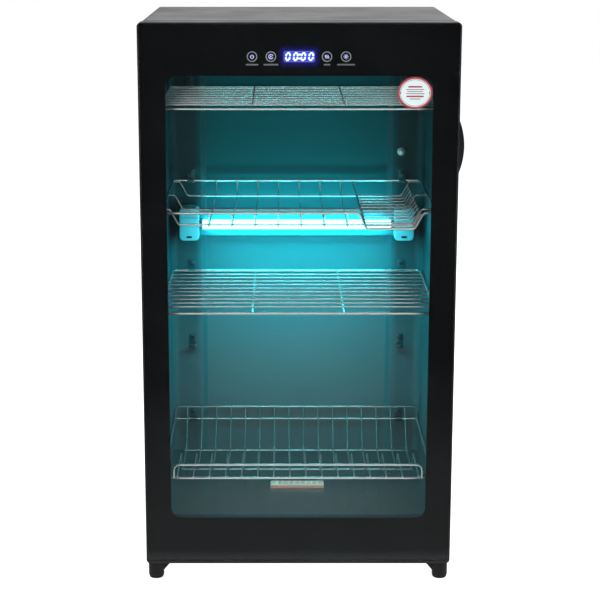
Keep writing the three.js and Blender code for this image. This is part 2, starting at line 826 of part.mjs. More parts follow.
function makeBowlBasket() {
  const top = bowlRailHeight;
  const low = bowlRailHeight - bowlDrop;
  const middle = (rackFront + rackBack) / 2;
  const half = railHalf - bowlInset;
  const leftWing = bowlWingFlat - half;
  const floorLeft = leftWing + bowlWingRun;
  const rightWing = half - bayWingFlat;
  const bayRight = rightWing - bayWingRun;
  const bayLeft = bayRight - cupBayWidth;
  const wireHeight = low + barRadius + wireRadius - weld;
  const pieces = [];

  // Outer rail; its front dips to the floor in front of the cup bay
  pieces.push(wire([[-half, middle - weld, top], [-half, rackBack, top], [half, rackBack, top],
    [half, middle - weld, top]], railRadius, bowlBend));
  pieces.push(wire([[-half, middle + weld, top], [-half, rackFront, top],
    [bayLeft - dipRun, rackFront, top], [bayLeft, rackFront, low], [bayRight, rackFront, low],
    [rightWing, rackFront, top], [half, rackFront, top], [half, middle + weld, top]],
  railRadius, bowlBend));

  // Bars from side to side, down one wing, along the floor and up the other
  const [frontBar, middleBar, lastBar] = bowlBarShares.map(ofRack);
  for (const depth of [frontBar, middleBar, lastBar]) {
    pieces.push(wire([[-half, depth, top], [leftWing, depth, top], [floorLeft, depth, low],
      [bayRight, depth, low], [rightWing, depth, top], [half, depth, top]], barRadius, bowlBend));
  }

  // Wires from front to back, turned up to the outer rail at both ends
  const pitch = (bayLeft - dipRun - floorLeft - bowlFirstWire) / (bowlWires - 1 / 2);
  const frontUp = rackFront + railRadius + wireRadius - weld;
  const backUp = rackBack - railRadius - wireRadius + weld;
  for (let index = 0; index < bowlWires; index += 1) {
    const x = floorLeft + bowlFirstWire + pitch * index;
    pieces.push(wire([[x, frontUp, top], [x, frontUp, wireHeight], [x, backUp, wireHeight],
      [x, backUp, top]], wireRadius, bowlBend));
  }

  // Cup bay: two lengthwise bars and the close wires across them
  const slope = new THREE.Vector2(rightWing - bayRight, top - low).normalize();
  const sink = barRadius + wireRadius - weld;
  const crest = new THREE.Vector2(bayRight, wireHeight).addScaledVector(slope, cupRise);
  pieces.push(wire([[bayLeft, rackFront, low], [bayLeft, lastBar, low]], barRadius));
  const crestBar = [crest.x + sink * slope.y, crest.y - sink * slope.x];
  pieces.push(wire([[crestBar[0], frontBar - crestOverhang, crestBar[1]],
    [crestBar[0], lastBar, crestBar[1]]], barRadius));
  const cupSpan = rackBack - rackFront - cupFirstWire - cupLastWire;
  for (let index = 0; index < cupWires; index += 1) {
    const depth = rackFront + cupFirstWire + cupSpan * index / (cupWires - 1);
    pieces.push(wire([[bayLeft, depth, wireHeight], [bayRight, depth, wireHeight],
      [crest.x + slope.x, depth, crest.y + slope.y]], wireRadius, bowlBend / 2));
  }

  // Leaning fence between the bowls and the cup bay
  pieces.push(wire([[bayLeft - fenceLean, rackBack, top], [bayLeft, frontBar, low + barRadius]], barRadius));
  add('bowl_basket', 'bowl_basket', join(...pieces), materials.chrome);
}

// Plate basket: a rail all round, a ledge in front, a low well for plates and a steep back

function makePlateBasket() {
  const rail = plateRailHeight;
  const wireHeight = rail + railRadius + wireRadius - weld;
  const under = wireRadius + barRadius - weld;
  const wireBack = rackBack - railRadius - wireRadius + weld;
  const pieces = railLoop(railHalf, rackFront, rackBack, rail, plateCorner);
  const upper = rail + plateUpperRise;
  const well = rail - plateWellDrop;
  const [ledgeEnd, wellFront, wellBack, backFoot] = plateBendShares.map(ofRack);

  for (const [depth, inset] of [[rackFront, plateRailInset], [rackBack, plateBackInset]]) {
    const end = railHalf - inset;
    pieces.push(wire([[-end, depth, rail], [-end, depth, upper], [end, depth, upper], [end, depth, rail]],
      railRadius));
  }

  const lastWire = railHalf - plateWireMargin;
  for (let index = 0; index < plateWires; index += 1) {
    const x = lastWire * (2 * index / (plateWires - 1) - 1);
    pieces.push(wire([[x, rackFront, wireHeight], [x, ledgeEnd, wireHeight], [x, wellFront, well],
      [x, wellBack, well], [x, backFoot, rail + plateShoulderRise], [x, wireBack, upper]],
    wireRadius, plateBend));
  }

  const bar = (half, depth, height) => wire([[-half, depth, height], [half, depth, height]], barRadius);
  const wellHalf = lastWire + plateBarOverhang;
  pieces.push(bar(wellHalf, wellFront + plateBend, well - under));
  pieces.push(bar(wellHalf, wellBack - plateBend / 2, well - under));
  add('plate_basket', 'plate_basket', join(...pieces), materials.chrome);
}

// Door

function doorCuts() {
  const through = [-cutOver, doorThick + cutOver];
  const glassHalf = doorHalf - glassLip + fit;
  const openHalf = windowHalf + openingEase;
  const boardHalf = boardWidth / 2 + fit;
  const boardLow = panelHeight - boardHeight / 2 - fit;
  const boardHigh = panelHeight + boardHeight / 2 + fit;
  const ledge = boardPocketLedge;
  const boardSeat = frameWebFront + displayDepth + fit + boardThick + fit;
  const grooveHalf = linerHalf + fit + sealWidth / 2 + sealDartWidth / 2 + fit;
  const groove = ringShape(grooveHalf, floorHeight - (grooveHalf - linerHalf),
    ceilingHeight + (grooveHalf - linerHalf), sealDartWidth + 2 * fit, sealCorner);
  const tongueLow = (handleLow + handleHigh - tongueLength) / 2 - fit;
  const tongueFront = (handleFront + handleBack - tongueThick) / 2 - fit;
  const magnetRight = doorHalf - magnetEdge;
  return [
    panelY(roundedRect(-glassHalf, glassHalf, doorBottom + glassLipBottom - fit,
      cabinetHeight - glassLip + fit, doorCorner - glassLip), -cutOver, frameWebFront),
    panelY(roundedRect(-openHalf, openHalf, windowBottom - openingDrop, windowTop + openingEase,
      windowCorner), ...through),
    block([-boardHalf, boardHalf], [glassThick, boardSeat], [boardLow, boardHigh]),
    block([ledge - boardHalf, boardHalf - ledge], [glassThick, boardSeat + boardPocketDepth],
      [boardLow + ledge, boardHigh - ledge]),
    panelY(groove, doorThick - sealDartDepth - fit, doorThick + cutOver),
    post(pivotX, pivotDepth, bushRadius + fit, doorBottom - cutOver, doorBottom + bushLength + fit),
    post(pivotX, pivotDepth, bushRadius + fit, armBottom - notchPlay - bushLength - fit, armBottom),
    block([-doorHalf - cutOver, pivotX + armHalfWidth + notchPlay],
      [pivotDepth - armHalfWidth * 2 + notchPlay, doorThick + cutOver],
      [armBottom - notchPlay, armTop + notchPlay]),
    block([doorHalf - tongueReach - fit, doorHalf + cutOver],
      [tongueFront, tongueFront + tongueThick + 2 * fit],
      [tongueLow, tongueLow + tongueLength + 2 * fit]),
    block([magnetRight - magnetLength - fit, magnetRight + fit],
      [doorThick - magnetThick - fit, doorThick + cutOver],
      [cabinetHeight - magnetTop - magnetHeight - fit, cabinetHeight - magnetTop + fit]),
  ];
}

function makeDoorFrame() {
  const outer = panelY(
    roundedRect(-doorHalf, doorHalf, doorBottom, cabinetHeight, doorCorner), 0, doorThick);
  add('door', 'door_frame', cut(outer, ...doorCuts()), materials.doorBlack);
}

function makeDoorGlass() {
  const half = doorHalf - glassLip;
  const pane = () => roundedRect(-half, half, doorBottom + glassLipBottom, cabinetHeight - glassLip,
    doorCorner - glassLip);
  add('door', 'door_glass', panelY(pane(), 0, glassThick), materials.glass);

  const print = pane();
  print.holes.push(
    roundedRect(-windowHalf, windowHalf, windowBottom, windowTop, windowCorner, THREE.Path),
    roundedRect(-displayWidth / 2, displayWidth / 2, panelHeight - displayHeight / 2,
      panelHeight + displayHeight / 2, displayHeight / 6, THREE.Path));
  add('door', 'door_print', panelY(print, maskFront, maskFront + maskThick), materials.print);
}

function makeDoorSeal() {
  const outer = linerHalf + fit + sealWidth;
  const ring = (width) => {
    const half = outer - (sealWidth - width) / 2;
    return ringShape(half, floorHeight - (half - linerHalf), ceilingHeight + (half - linerHalf), width,
      sealCorner);
  };
  const flangeBack = doorThick + fit + sealFlange;
  const seal = join(
    panelY(ring(sealDartWidth), doorThick - sealDartDepth, flangeBack),
    panelY(ring(sealWidth), doorThick + fit, flangeBack),
    panelY(ring(sealBulbWidth), flangeBack - sealFlange / 2, caseFront - fit));
  add('door', 'door_seal', seal, materials.rubber);
}

function makeDoorHandle() {
  const chord = (handleHigh - handleLow) / 2;
  const bulge = handleProud - fit;
  const radius = (chord ** 2 + bulge ** 2) / (2 * bulge);
  const sweep = Math.asin(chord / radius);
  const middle = (handleHigh + handleLow) / 2;
  const grip = new THREE.Shape();
  grip.absarc(doorHalf + handleProud - radius, middle, radius, -sweep, 0);
  grip.absarc(doorHalf + handleProud - radius, middle, radius, 0, sweep);
  const body = panelY(grip, handleFront, handleBack);
  const scoop = new THREE.CylinderGeometry(handleScoopRadius, handleScoopRadius,
    handleHigh - handleLow + cutOver, roundSides);
  scoop.rotateX(Math.PI / 2).translate(doorHalf + handleProud,
    at(handleBack + handleScoopRadius - handleScoopReach), middle);
  const tongueLow = middle - tongueLength / 2;
  const tongueFront = (handleFront + handleBack - tongueThick) / 2;
  const tongue = block([doorHalf - tongueReach, doorHalf + handleProud / 2],
    [tongueFront, tongueFront + tongueThick], [tongueLow, tongueLow + tongueLength]);
  add('door', 'door_handle', join(cut(body, scoop), tongue), materials.doorBlack);
}

function bush(name, low, flanged) {
  const bore = pinRadius + hingeBoreClearance;
  const gap = doorBottom - caseBottom - fit;
  const bottom = flanged ? -gap : 0;
  const foot = flanged ? [new THREE.Vector2(bushRadius + bushFlangeWidth, bottom),
    new THREE.Vector2(bushRadius + bushFlangeWidth, -fit), new THREE.Vector2(bushRadius, -fit)]
    : [new THREE.Vector2(bushRadius, 0)];
  const profile = [new THREE.Vector2(bore, bottom), ...foot, new THREE.Vector2(bushRadius, bushLength),
    new THREE.Vector2(bore, bushLength), new THREE.Vector2(bore, bottom)];
  const ring = new THREE.LatheGeometry(profile, roundSides).rotateX(Math.PI / 2);
  add('door', name, ring.translate(pivotX, at(pivotDepth), low), materials.nylon);
}

function makeTouchPanel() {
  const displayBack = frameWebFront + displayDepth;
  add('door', 'display_module', block([-displayWidth / 2, displayWidth / 2], [frameWebFront, displayBack],
    [panelHeight - displayHeight / 2, panelHeight + displayHeight / 2]), materials.display);
  add('door', 'touch_board', block([-boardWidth / 2, boardWidth / 2],
    [displayBack + fit, displayBack + fit + boardThick],
    [panelHeight - boardHeight / 2, panelHeight + boardHeight / 2]), materials.board);
}

function makeDoor() {
  makeDoorFrame();
  makeDoorGlass();
  makeDoorSeal();
  makeDoorHandle();
  bush('hinge_bush_lower', doorBottom, true);
  bush('hinge_bush_upper', armBottom - notchPlay - bushLength, false);
  makeTouchPanel();
  const magnetRight = doorHalf - magnetEdge;
  add('door', 'door_magnet', block([magnetRight - magnetLength, magnetRight],
    [doorThick - magnetThick, doorThick],
    [cabinetHeight - magnetTop - magnetHeight, cabinetHeight - magnetTop]), materials.magnet);
}

// Heater and fan under the floor

const fanBottom = panTop + fit + fanFootHeight;

function makeHeater() {
  const half = heaterWidth / 2;
  const top = floorHeight + heaterRise;
  const back = heaterFront + heaterDeep;
  const low = fanBottom + fanHeight + fit;
  const roof = low + hoodHeight;
  const inside = half - heaterWall;
  const lip = half - heaterBevel;
  const face = outline([[-half, low], [half, low], [half, top - heaterBevel], [lip, top], [-lip, top],
    [-half, top - heaterBevel]]);
  const section = outline([[heaterFront, low], [back, low], [back, top - heaterBevel],
    [back - heaterBevel, top], [heaterFront + heaterBevel, top], [heaterFront, top - heaterBevel]]);
  const neck = geometryOf(solid(panelY(face, heaterFront, back)).intersect(
    solid(panelX(section, -half, half))));
  const hood = block([-half, half], [fanDepth - half, fanDepth + half], [low, roof]);
  const cuts = [
    block([-inside, inside], [heaterFront + heaterWall, back - heaterWall],
      [low - cutOver, top - heaterTop]),
    block([-inside, inside], [fanDepth - inside, fanDepth + inside], [low - cutOver, roof - hoodTop])];
  const slotPitch = (2 * inside + heaterBar) / heaterSlots;
  for (let index = 0; index < heaterSlots; index += 1) {
    const left = slotPitch * index - inside;
    cuts.push(block([left, left + slotPitch - heaterBar], [heaterFront + heaterWall, back - heaterWall],
      [roof, top + cutOver]));
  }
  const notch = new THREE.CylinderGeometry(heaterNotchRadius, heaterNotchRadius, heaterWall, pinSides);
  cuts.push(notch.translate(0, at(heaterFront + heaterBevel), top));
  add('cabinet', 'heater_housing', cut(join(neck, hood), ...cuts), materials.cream);

  const coreHalf = inside - fit;
  const coreTop = top - heaterTop - coreDrop;
  const coreFront = heaterFront + heaterWall + fit;
  const coreBack = back - heaterWall - fit;
  const gap = (2 * coreHalf - coreFin) / coreSlots;
  const slots = Array.from({ length: coreSlots }, (_, index) => block(
    [coreFin - coreHalf + gap * index, gap * (index + 1) - coreHalf],
    [coreFront + coreFin, coreBack - coreFin],
    [coreTop - coreHeight - cutOver, coreTop + cutOver]));
  add('cabinet', 'heater_core', cut(block([-coreHalf, coreHalf], [coreFront, coreBack],
    [coreTop - coreHeight, coreTop]), ...slots), materials.fin);
}

function makeFanFrame() {
  const half = fanSize / 2;
  const top = fanBottom + fanHeight;
  const square = block([-half, half], [fanDepth - half, fanDepth + half], [fanBottom, top]);
  const bore = post(0, fanDepth, fanBoreRadius, fanBottom - cutOver, top + cutOver, roundSides * 2);
  const ring = cut(square, bore);
  const spiderTop = fanBottom + fanBackThick;
  const pieces = [post(0, fanDepth, fanHubRadius, fanBottom, spiderTop),
    post(0, fanDepth, fanShaftRadius, spiderTop - fanBackThick / 2, spiderTop + fanShaftLength, pinSides)];
  for (let index = 0; index < fanStruts; index += 1) {
    const strut = new THREE.BoxGeometry(fanBoreRadius - fanHubRadius / 2 + fanBackThick, fanStrutWidth,
      fanBackThick);
    strut.translate((fanBoreRadius + fanHubRadius / 2 + fanBackThick) / 2, 0, fanBottom + fanBackThick / 2);
    strut.rotateZ(Math.PI * 2 * (index + 1 / 2) / fanStruts);
    pieces.push(strut.translate(0, at(fanDepth), 0));
  }
  for (const sideX of [-1, 1]) {
    for (const sideY of [-1, 1]) {
      const x = [sideX * half, sideX * (half - fanFootSize)].sort((a, b) => a - b);
      const y = [sideY * half, sideY * (half - fanFootSize)].sort((a, b) => a - b);
      pieces.push(block(x, y.map((offset) => fanDepth + offset),
        [fanBottom - fanFootHeight, spiderTop]));
    }
  }
  add('cabinet', 'fan_frame', join(ring, ...pieces), materials.fanBlack);
}

function makeFanRotor() {
  const low = fanBottom + fanBackThick + fit * 2;
  const hub = cut(post(0, fanDepth, fanHubRadius, low, low + rotorHeight),
    post(0, fanDepth, fanShaftRadius + hingeBoreClearance, low - cutOver, low + fanShaftLength));
  const tip = fanBoreRadius - rotorTipClearance;
  const root = fanHubRadius - bladeThick;
  const blades = Array.from({ length: bladeCount }, (_, index) => {
    const blade = new THREE.BoxGeometry(tip - root, bladeChord, bladeThick);
    blade.rotateX(bladePitch).translate((tip + root) / 2, 0, low + rotorHeight / 2);
    return blade.rotateZ(Math.PI * 2 * index / bladeCount).translate(0, at(fanDepth), 0);
  });
  add('fan', 'fan_rotor', join(hub, ...blades), materials.fanBlack);
}

// Power board, lamp ballast and reed switch

function powerPosts() {
  const right = innerHalf - powerEdge - postInset;
  const left = right - powerWidth + 2 * postInset;
  const front = powerFront + postInset;
  const back = powerFront + powerDeep - postInset;
  return [[left, front], [right, front], [left, back], [right, back]];
}

function makeElectrics() {
  const right = innerHalf - powerEdge;
  const left = right - powerWidth;
  const low = panTop + postHeight + fit;
  const deck = low + boardThick;
  const [coilWidth, coilDeep, coilHeight] = transformerSize;
  const coilFront = powerFront + (powerDeep - coilDeep) / 2;
  const board = join(
    block([left, right], [powerFront, powerFront + powerDeep], [low, deck]),
    block([left + postInset * 2, left + postInset * 2 + coilWidth], [coilFront, coilFront + coilDeep],
      [low + boardThick / 2, deck + coilHeight]),
    post(right - postInset * 3, powerFront + powerDeep / 2, capacitorRadius, low + boardThick / 2,
      deck + capacitorHeight, pinSides));
  add('cabinet', 'power_board', board, materials.board);

  const ballastLeft = ballastEdge - innerHalf;
  const ballastRight = ballastLeft + ballastWidth;
  const ballastLow = panTop + fit;
  const ballast = join(
    block([ballastLeft, ballastRight], [ballastFront, ballastFront + ballastDeep],
      [ballastLow, ballastLow + caseSheet]),
    block([ballastLeft + ballastTab, ballastRight - ballastTab], [ballastFront, ballastFront + ballastDeep],
      [ballastLow, ballastLow + ballastHeight]));
  add('cabinet', 'lamp_ballast', ballast, materials.lampPlastic);

  const reedRight = doorHalf - magnetEdge;
  add('cabinet', 'reed_switch', block([reedRight - reedLength, reedRight],
    [frameBack + fit, frameBack + fit + reedDeep],
    [cabinetHeight - magnetTop - reedHeight, cabinetHeight - magnetTop]), materials.lampPlastic);
}

makeCase();
makeBasePan();
makeFeet();
makeUpperHinge();
makeLiner();
makeHooks();
makeProbe();
makeLamp();
makeShelf('shelf_top', shelfTopHeight);
makeBowlBasket();
makeShelf('shelf_middle', shelfMiddleHeight);
makePlateBasket();
makeDoor();
makeHeater();
makeFanFrame();
makeFanRotor();
makeElectrics();

// The handle stands out on the right, so the cabinet is shifted to keep the origin in the middle
const sterilizer = new THREE.Group();
sterilizer.add(...Object.values(bodies));
sterilizer.position.x = -handleProud / 2;

export default sterilizer;
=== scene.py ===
"""Dressed dish sterilizer cabinet: black case, printed glass door, wire racks and a lit tube."""

import math

import bmesh
import bpy
from mathutils import Matrix, Vector


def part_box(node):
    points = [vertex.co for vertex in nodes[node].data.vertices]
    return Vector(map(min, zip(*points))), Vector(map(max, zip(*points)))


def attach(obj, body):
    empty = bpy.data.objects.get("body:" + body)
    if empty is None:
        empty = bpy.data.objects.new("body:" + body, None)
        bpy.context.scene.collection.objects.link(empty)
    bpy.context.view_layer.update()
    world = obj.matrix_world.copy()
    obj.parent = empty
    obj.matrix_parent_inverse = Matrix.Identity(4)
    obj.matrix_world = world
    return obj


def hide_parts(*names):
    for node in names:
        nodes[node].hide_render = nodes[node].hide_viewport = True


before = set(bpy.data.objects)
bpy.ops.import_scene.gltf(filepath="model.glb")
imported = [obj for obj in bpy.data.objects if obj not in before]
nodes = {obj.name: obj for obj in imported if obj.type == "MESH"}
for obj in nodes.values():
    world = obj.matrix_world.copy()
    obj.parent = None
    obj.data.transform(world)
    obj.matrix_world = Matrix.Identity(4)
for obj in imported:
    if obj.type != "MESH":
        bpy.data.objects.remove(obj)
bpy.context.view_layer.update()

# Sizes are in millimetres; places are X from the door's middle, depth behind its front, and height
MM = 0.001
FIT = 0.3
SIDES = {"left": -1, "right": 1}
door_low, door_high = (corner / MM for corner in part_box("door_frame"))
SIDE_SHIFT = round((door_low.x + door_high.x) / 2, 1)
DEPTH_MID = round(-door_low.y, 1)


def place(x, depth, z):
    """A place on the object, in metres."""
    return Vector(((x + SIDE_SHIFT) * MM, (depth - DEPTH_MID) * MM, z * MM))


def limits(node):
    """Lowest and highest X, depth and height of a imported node, to a tenth of a millimetre."""
    home = Vector((-SIDE_SHIFT, DEPTH_MID, 0.0))
    return [[round(value, 1) for value in corner / MM + home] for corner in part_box(node)]


def middle_of(node):
    return [(low + high) / 2 for low, high in zip(*limits(node))]


# Case
CASE_HALF, CASE_REAR, CASE_TOP = limits("outer_shell")[1]
CASE_FRONT, CASE_LOW = limits("outer_shell")[0][1:]
CASE_CORNER = 6.0
CASE_SHEET = 1.2
FACE_HALF, FACE_BACK, FACE_TOP = limits("front_frame")[1]
FACE_LOW = limits("front_frame")[0][2]
COVER_BACK = limits("rear_cover")[1][1]

# Door
DOOR_HALF, DOOR_BACK, DOOR_TOP = limits("door_frame")[1]
DOOR_LOW = limits("door_frame")[0][2]
PANE_HALF, PANE_BACK, PANE_TOP = limits("door_glass")[1]
PANE_LOW = limits("door_glass")[0][2]
PANE_CORNER = 4.0
WINDOW_HALF = 187.3
WINDOW_LOW = 96.6
WINDOW_TOP = 749.0
WINDOW_CORNER = 17.5
CLOCK_HALF = limits("display_module")[1][0]
CLOCK_HALF_HEIGHT = 7.5
PANEL_Z = middle_of("display_module")[2]
HINGE_X = -215.0
HINGE_DEPTH = 16.0
TONGUE_LEFT = 219.0
TONGUE_FRONT = 12.5
TONGUE_BACK = 19.5
TONGUE_LOW = 621.3
TONGUE_TOP = 677.3

# Liner
LINER_SHEET = 1.0
LINER_HALF = limits("liner_wrap")[1][0] - LINER_SHEET
LINER_BACK = limits("liner_wrap")[1][1] - LINER_SHEET
LINER_TOP = limits("liner_wrap")[1][2]
LINER_FRONT = limits("liner_wrap")[0][1]
LINER_LOW = limits("liner_wrap")[0][2] - FIT
FIELD_HALF = 147.0
FIELD_FOOT = 155.0
FIELD_RISE = 4.0

# Racks: round wire of three sizes, each sunk a little into the wire that it is welded to
RAIL = 2.0
BAR = 1.5
WIRE = 1.2
WELD = 0.9
RAIL_HALF = 202.0
RACK_FRONT = 48.0
RACK_BACK = 343.2
HOOK_SHEET = 1.4
LEVELS = {name: limits(f"hook_{name}_left")[0][2] + HOOK_SHEET + FIT + RAIL
          for name in ("shelf_top", "bowl_basket", "shelf_middle", "spare", "plate_basket")}

# Lamp
TUBE_HALF = limits("uv_tube")[1][0]
TUBE_RADIUS = 8.0
LAMP_DEPTH, LAMP_Z = middle_of("uv_tube")[1:]


# Camera


def make_camera():
    """The photograph's view, from a little above the cabinet."""
    data = bpy.data.cameras.new("front_view")
    data.sensor_width = 36.0
    data.lens = 99.03
    data.shift_x = 0.0317
    data.shift_y = -0.035
    data.clip_start = 0.05
    data.clip_end = 50.0
    camera = bpy.data.objects.new("front_view", data)
    camera.location = (-0.0291, -2.486, 0.977)
    pitch = 12.666
    camera.rotation_euler = (math.radians(90.0 - pitch), 0.0, 0.0)
    bpy.context.scene.collection.objects.link(camera)
    bpy.context.scene.camera = camera


make_camera()


# Node helpers


def feed(tree, node, name, value):
    """Sets an input, found by name or number, or links another node's output to it."""
    socket = node.inputs[name]
    if isinstance(value, bpy.types.NodeSocket):
        tree.links.new(value, socket)
    else:
        socket.default_value = value


def put(tree, kind, **inputs):
    """Adds a node; an input is a value or another node's output."""
    node = tree.nodes.new(kind)
    for name, value in inputs.items():
        feed(tree, node, name.replace("_", " "), value)
    return node


def figure(tree, operation, first, second=0.0, clamp=False):
    """One sum on two values."""
    node = tree.nodes.new("ShaderNodeMath")
    node.operation = operation
    node.use_clamp = clamp
    feed(tree, node, 0, first)
    feed(tree, node, 1, second)
    return node.outputs[0]


def times(tree, first, second, clamp=False):
    return figure(tree, "MULTIPLY", first, second, clamp)


def plus(tree, first, second, clamp=False):
    return figure(tree, "ADD", first, second, clamp)


def span(tree, value, low, high, new_low=0.0, new_high=1.0):
    """Moves a value from one range to another and keeps it there."""
    node = put(tree, "ShaderNodeMapRange", Value=value, From_Min=low, From_Max=high, To_Min=new_low,
               To_Max=new_high)
    return node.outputs["Result"]


def blend_colors(tree, share, first, second):
    """Mixes two colours, each given as red, green and blue or as another node's output."""
    node = tree.nodes.new("ShaderNodeMix")
    node.data_type = "RGBA"
    feed(tree, node, 0, share)
    for index, color in ((6, first), (7, second)):
        feed(tree, node, index, color if isinstance(color, bpy.types.NodeSocket) else (*color, 1.0))
    return node.outputs[2]


def mix_shaders(tree, share, first, second):
    """The first shader where the share is nought, the second where it is one."""
    node = tree.nodes.new("ShaderNodeMixShader")
    for index, value in enumerate((share, first.outputs[0], second.outputs[0])):
        tree.links.new(value, node.inputs[index])
    return node


def cloud(tree, vector, scale, detail=3.0, rough=0.55):
    """Noise without a direction."""
    node = put(tree, "ShaderNodeTexNoise", Vector=vector, Scale=scale, Detail=detail, Roughness=rough)
    return node.outputs["Fac"]


def object_spot(tree):
    return put(tree, "ShaderNodeTexCoord").outputs["Object"]


def parts_of(tree, vector):
    return put(tree, "ShaderNodeSeparateXYZ", Vector=vector).outputs


def from_middle(tree, spot):
    """X, Y and Z in metres, with X counted from the door's middle."""
    moved = put(tree, "ShaderNodeMapping", Vector=spot, Location=(-SIDE_SHIFT * MM, 0.0, 0.0))
    return parts_of(tree, moved.outputs["Vector"])


def from_clock(tree, spot, size=(1.0, 1.0, 1.0)):
    """X, Y and Z counted from the clock's centre, in shares of a size in metres."""
    low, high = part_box("display_module")
    moved = put(tree, "ShaderNodeMapping", Vector=spot, Location=(low + high) / 2, Scale=size)
    moved.vector_type = "TEXTURE"
    return parts_of(tree, moved.outputs["Vector"])


def new_group(name, kind, inputs, outputs):
    """A node group with named inputs and outputs, and its two end nodes."""
    tree = bpy.data.node_groups.new(name, kind)
    for label, socket, value in inputs:
        item = tree.interface.new_socket(name=label, in_out="INPUT", socket_type=socket)
        if value is not None:
            item.default_value = value
    for label, socket in outputs:
        tree.interface.new_socket(name=label, in_out="OUTPUT", socket_type=socket)
    return tree, tree.nodes.new("NodeGroupInput").outputs, tree.nodes.new("NodeGroupOutput")


# Surface effects shared by several finishes

TONE_AND_HEIGHT = [("Tone", "NodeSocketFloat"), ("Height", "NodeSocketFloat")]


def grain_group():
    """Fine lines drawn along one direction, with slow changes of tone."""
    tree, given, out = new_group(
        "drawn_grain", "ShaderNodeTree",
        [("Stretch", "NodeSocketVector", (40.0, 40.0, 900.0)), ("Depth", "NodeSocketFloat", 1.0)],
        TONE_AND_HEIGHT)
    spot = object_spot(tree)
    lines = put(tree, "ShaderNodeMapping", Vector=spot, Scale=given["Stretch"]).outputs["Vector"]
    fine = cloud(tree, lines, 1.0, 4.0, 0.6)
    slow = cloud(tree, spot, 9.0, 2.0)
    feed(tree, out, "Tone", plus(tree, times(tree, fine, 0.65), times(tree, slow, 0.35)))
    feed(tree, out, "Height", times(tree, fine, given["Depth"]))
    return tree


def coat_group():
    """The shallow dimples of sprayed powder or of moulded plastic."""
    tree, given, out = new_group(
        "sprayed_coat", "ShaderNodeTree",
        [("Dimples", "NodeSocketFloat", 900.0), ("Depth", "NodeSocketFloat", 1.0)],
        TONE_AND_HEIGHT)
    spot = object_spot(tree)
    cells = put(tree, "ShaderNodeTexVoronoi", Vector=spot, Scale=given["Dimples"])
    cells.feature = "SMOOTH_F1"
    fine = cloud(tree, spot, 2400.0, 2.0)
    slow = cloud(tree, spot, 14.0, 3.0)
    height = plus(tree, cells.outputs["Distance"], times(tree, fine, 0.4))
    feed(tree, out, "Tone", plus(tree, times(tree, slow, 0.7), times(tree, fine, 0.3)))
    feed(tree, out, "Height", times(tree, height, given["Depth"]))
    return tree


def rub_group():
    """Edges that hands and cloths have rubbed lighter."""
    tree, given, out = new_group(
        "rubbed_edges", "ShaderNodeTree",
        [("Width", "NodeSocketFloat", 0.0008), ("Amount", "NodeSocketFloat", 0.5)],
        [("Mask", "NodeSocketFloat")])
    bevel = put(tree, "ShaderNodeBevel", Radius=given["Width"])
    bevel.samples = 4
    facing = tree.nodes.new("ShaderNodeVectorMath")
    facing.operation = "DOT_PRODUCT"
    feed(tree, facing, 0, bevel.outputs["Normal"])
    feed(tree, facing, 1, put(tree, "ShaderNodeNewGeometry").outputs["True Normal"])
    edge = span(tree, facing.outputs["Value"], 0.995, 0.86)
    patchy = span(tree, cloud(tree, object_spot(tree), 160.0, 4.0), 0.42, 0.68)
    feed(tree, out, "Mask", times(tree, times(tree, edge, patchy), given["Amount"], True))
    return tree


def dust_group():
    """Dust that has settled on faces that look up, and faint wiping marks."""
    tree, given, out = new_group(
        "settled_dust", "ShaderNodeTree",
        [("Amount", "NodeSocketFloat", 0.2), ("Smears", "NodeSocketFloat", 0.1)],
        [("Mask", "NodeSocketFloat"), ("Smear", "NodeSocketFloat")])
    spot = object_spot(tree)
    lying = span(tree, parts_of(tree, put(tree, "ShaderNodeNewGeometry").outputs["Normal"])["Z"], 0.6, 1.0)
    specks = span(tree, cloud(tree, spot, 700.0, 5.0, 0.7), 0.45, 0.8)
    feed(tree, out, "Mask", times(tree, times(tree, lying, specks), given["Amount"], True))
    wiped = put(tree, "ShaderNodeMapping", Vector=spot, Scale=(9.0, 9.0, 26.0), Rotation=(0.3, 0.5, 0.2))
    smear = span(tree, cloud(tree, wiped.outputs["Vector"], 1.0, 5.0, 0.62), 0.45, 0.75)
    feed(tree, out, "Smear", times(tree, smear, given["Smears"]))
    return tree


GRAIN = grain_group()
COAT = coat_group()
RUB = rub_group()
DUST = dust_group()


def use(tree, group, **inputs):
    """Places a shared group in a material with its own values."""
    node = tree.nodes.new("ShaderNodeGroup")
    node.node_tree = group
    for name, value in inputs.items():
        feed(tree, node, name, value)
    return node.outputs


# Finishes

LINT_COLOR = (0.42, 0.41, 0.39)
BRUSH_UP = (1400.0, 1400.0, 30.0)
BRUSH_ALONG = (60.0, 1400.0, 1400.0)
DRAWN = (700.0, 700.0, 700.0)


def bare_material(name, color, roughness, metallic=0.0):
    material = bpy.data.materials.new(name)
    material.use_nodes = True
    tree = material.node_tree
    shader = tree.nodes["Principled BSDF"]
    feed(tree, shader, "Base Color", (*color, 1.0))
    feed(tree, shader, "Roughness", roughness)
    feed(tree, shader, "Metallic", metallic)
    return material, tree, shader


def light_up(tree, glow, strength):
    """Makes a material give light of a colour or pattern."""
    shader = tree.nodes["Principled BSDF"]
    feed(tree, shader, "Emission Color", glow)
    feed(tree, shader, "Emission Strength", strength)


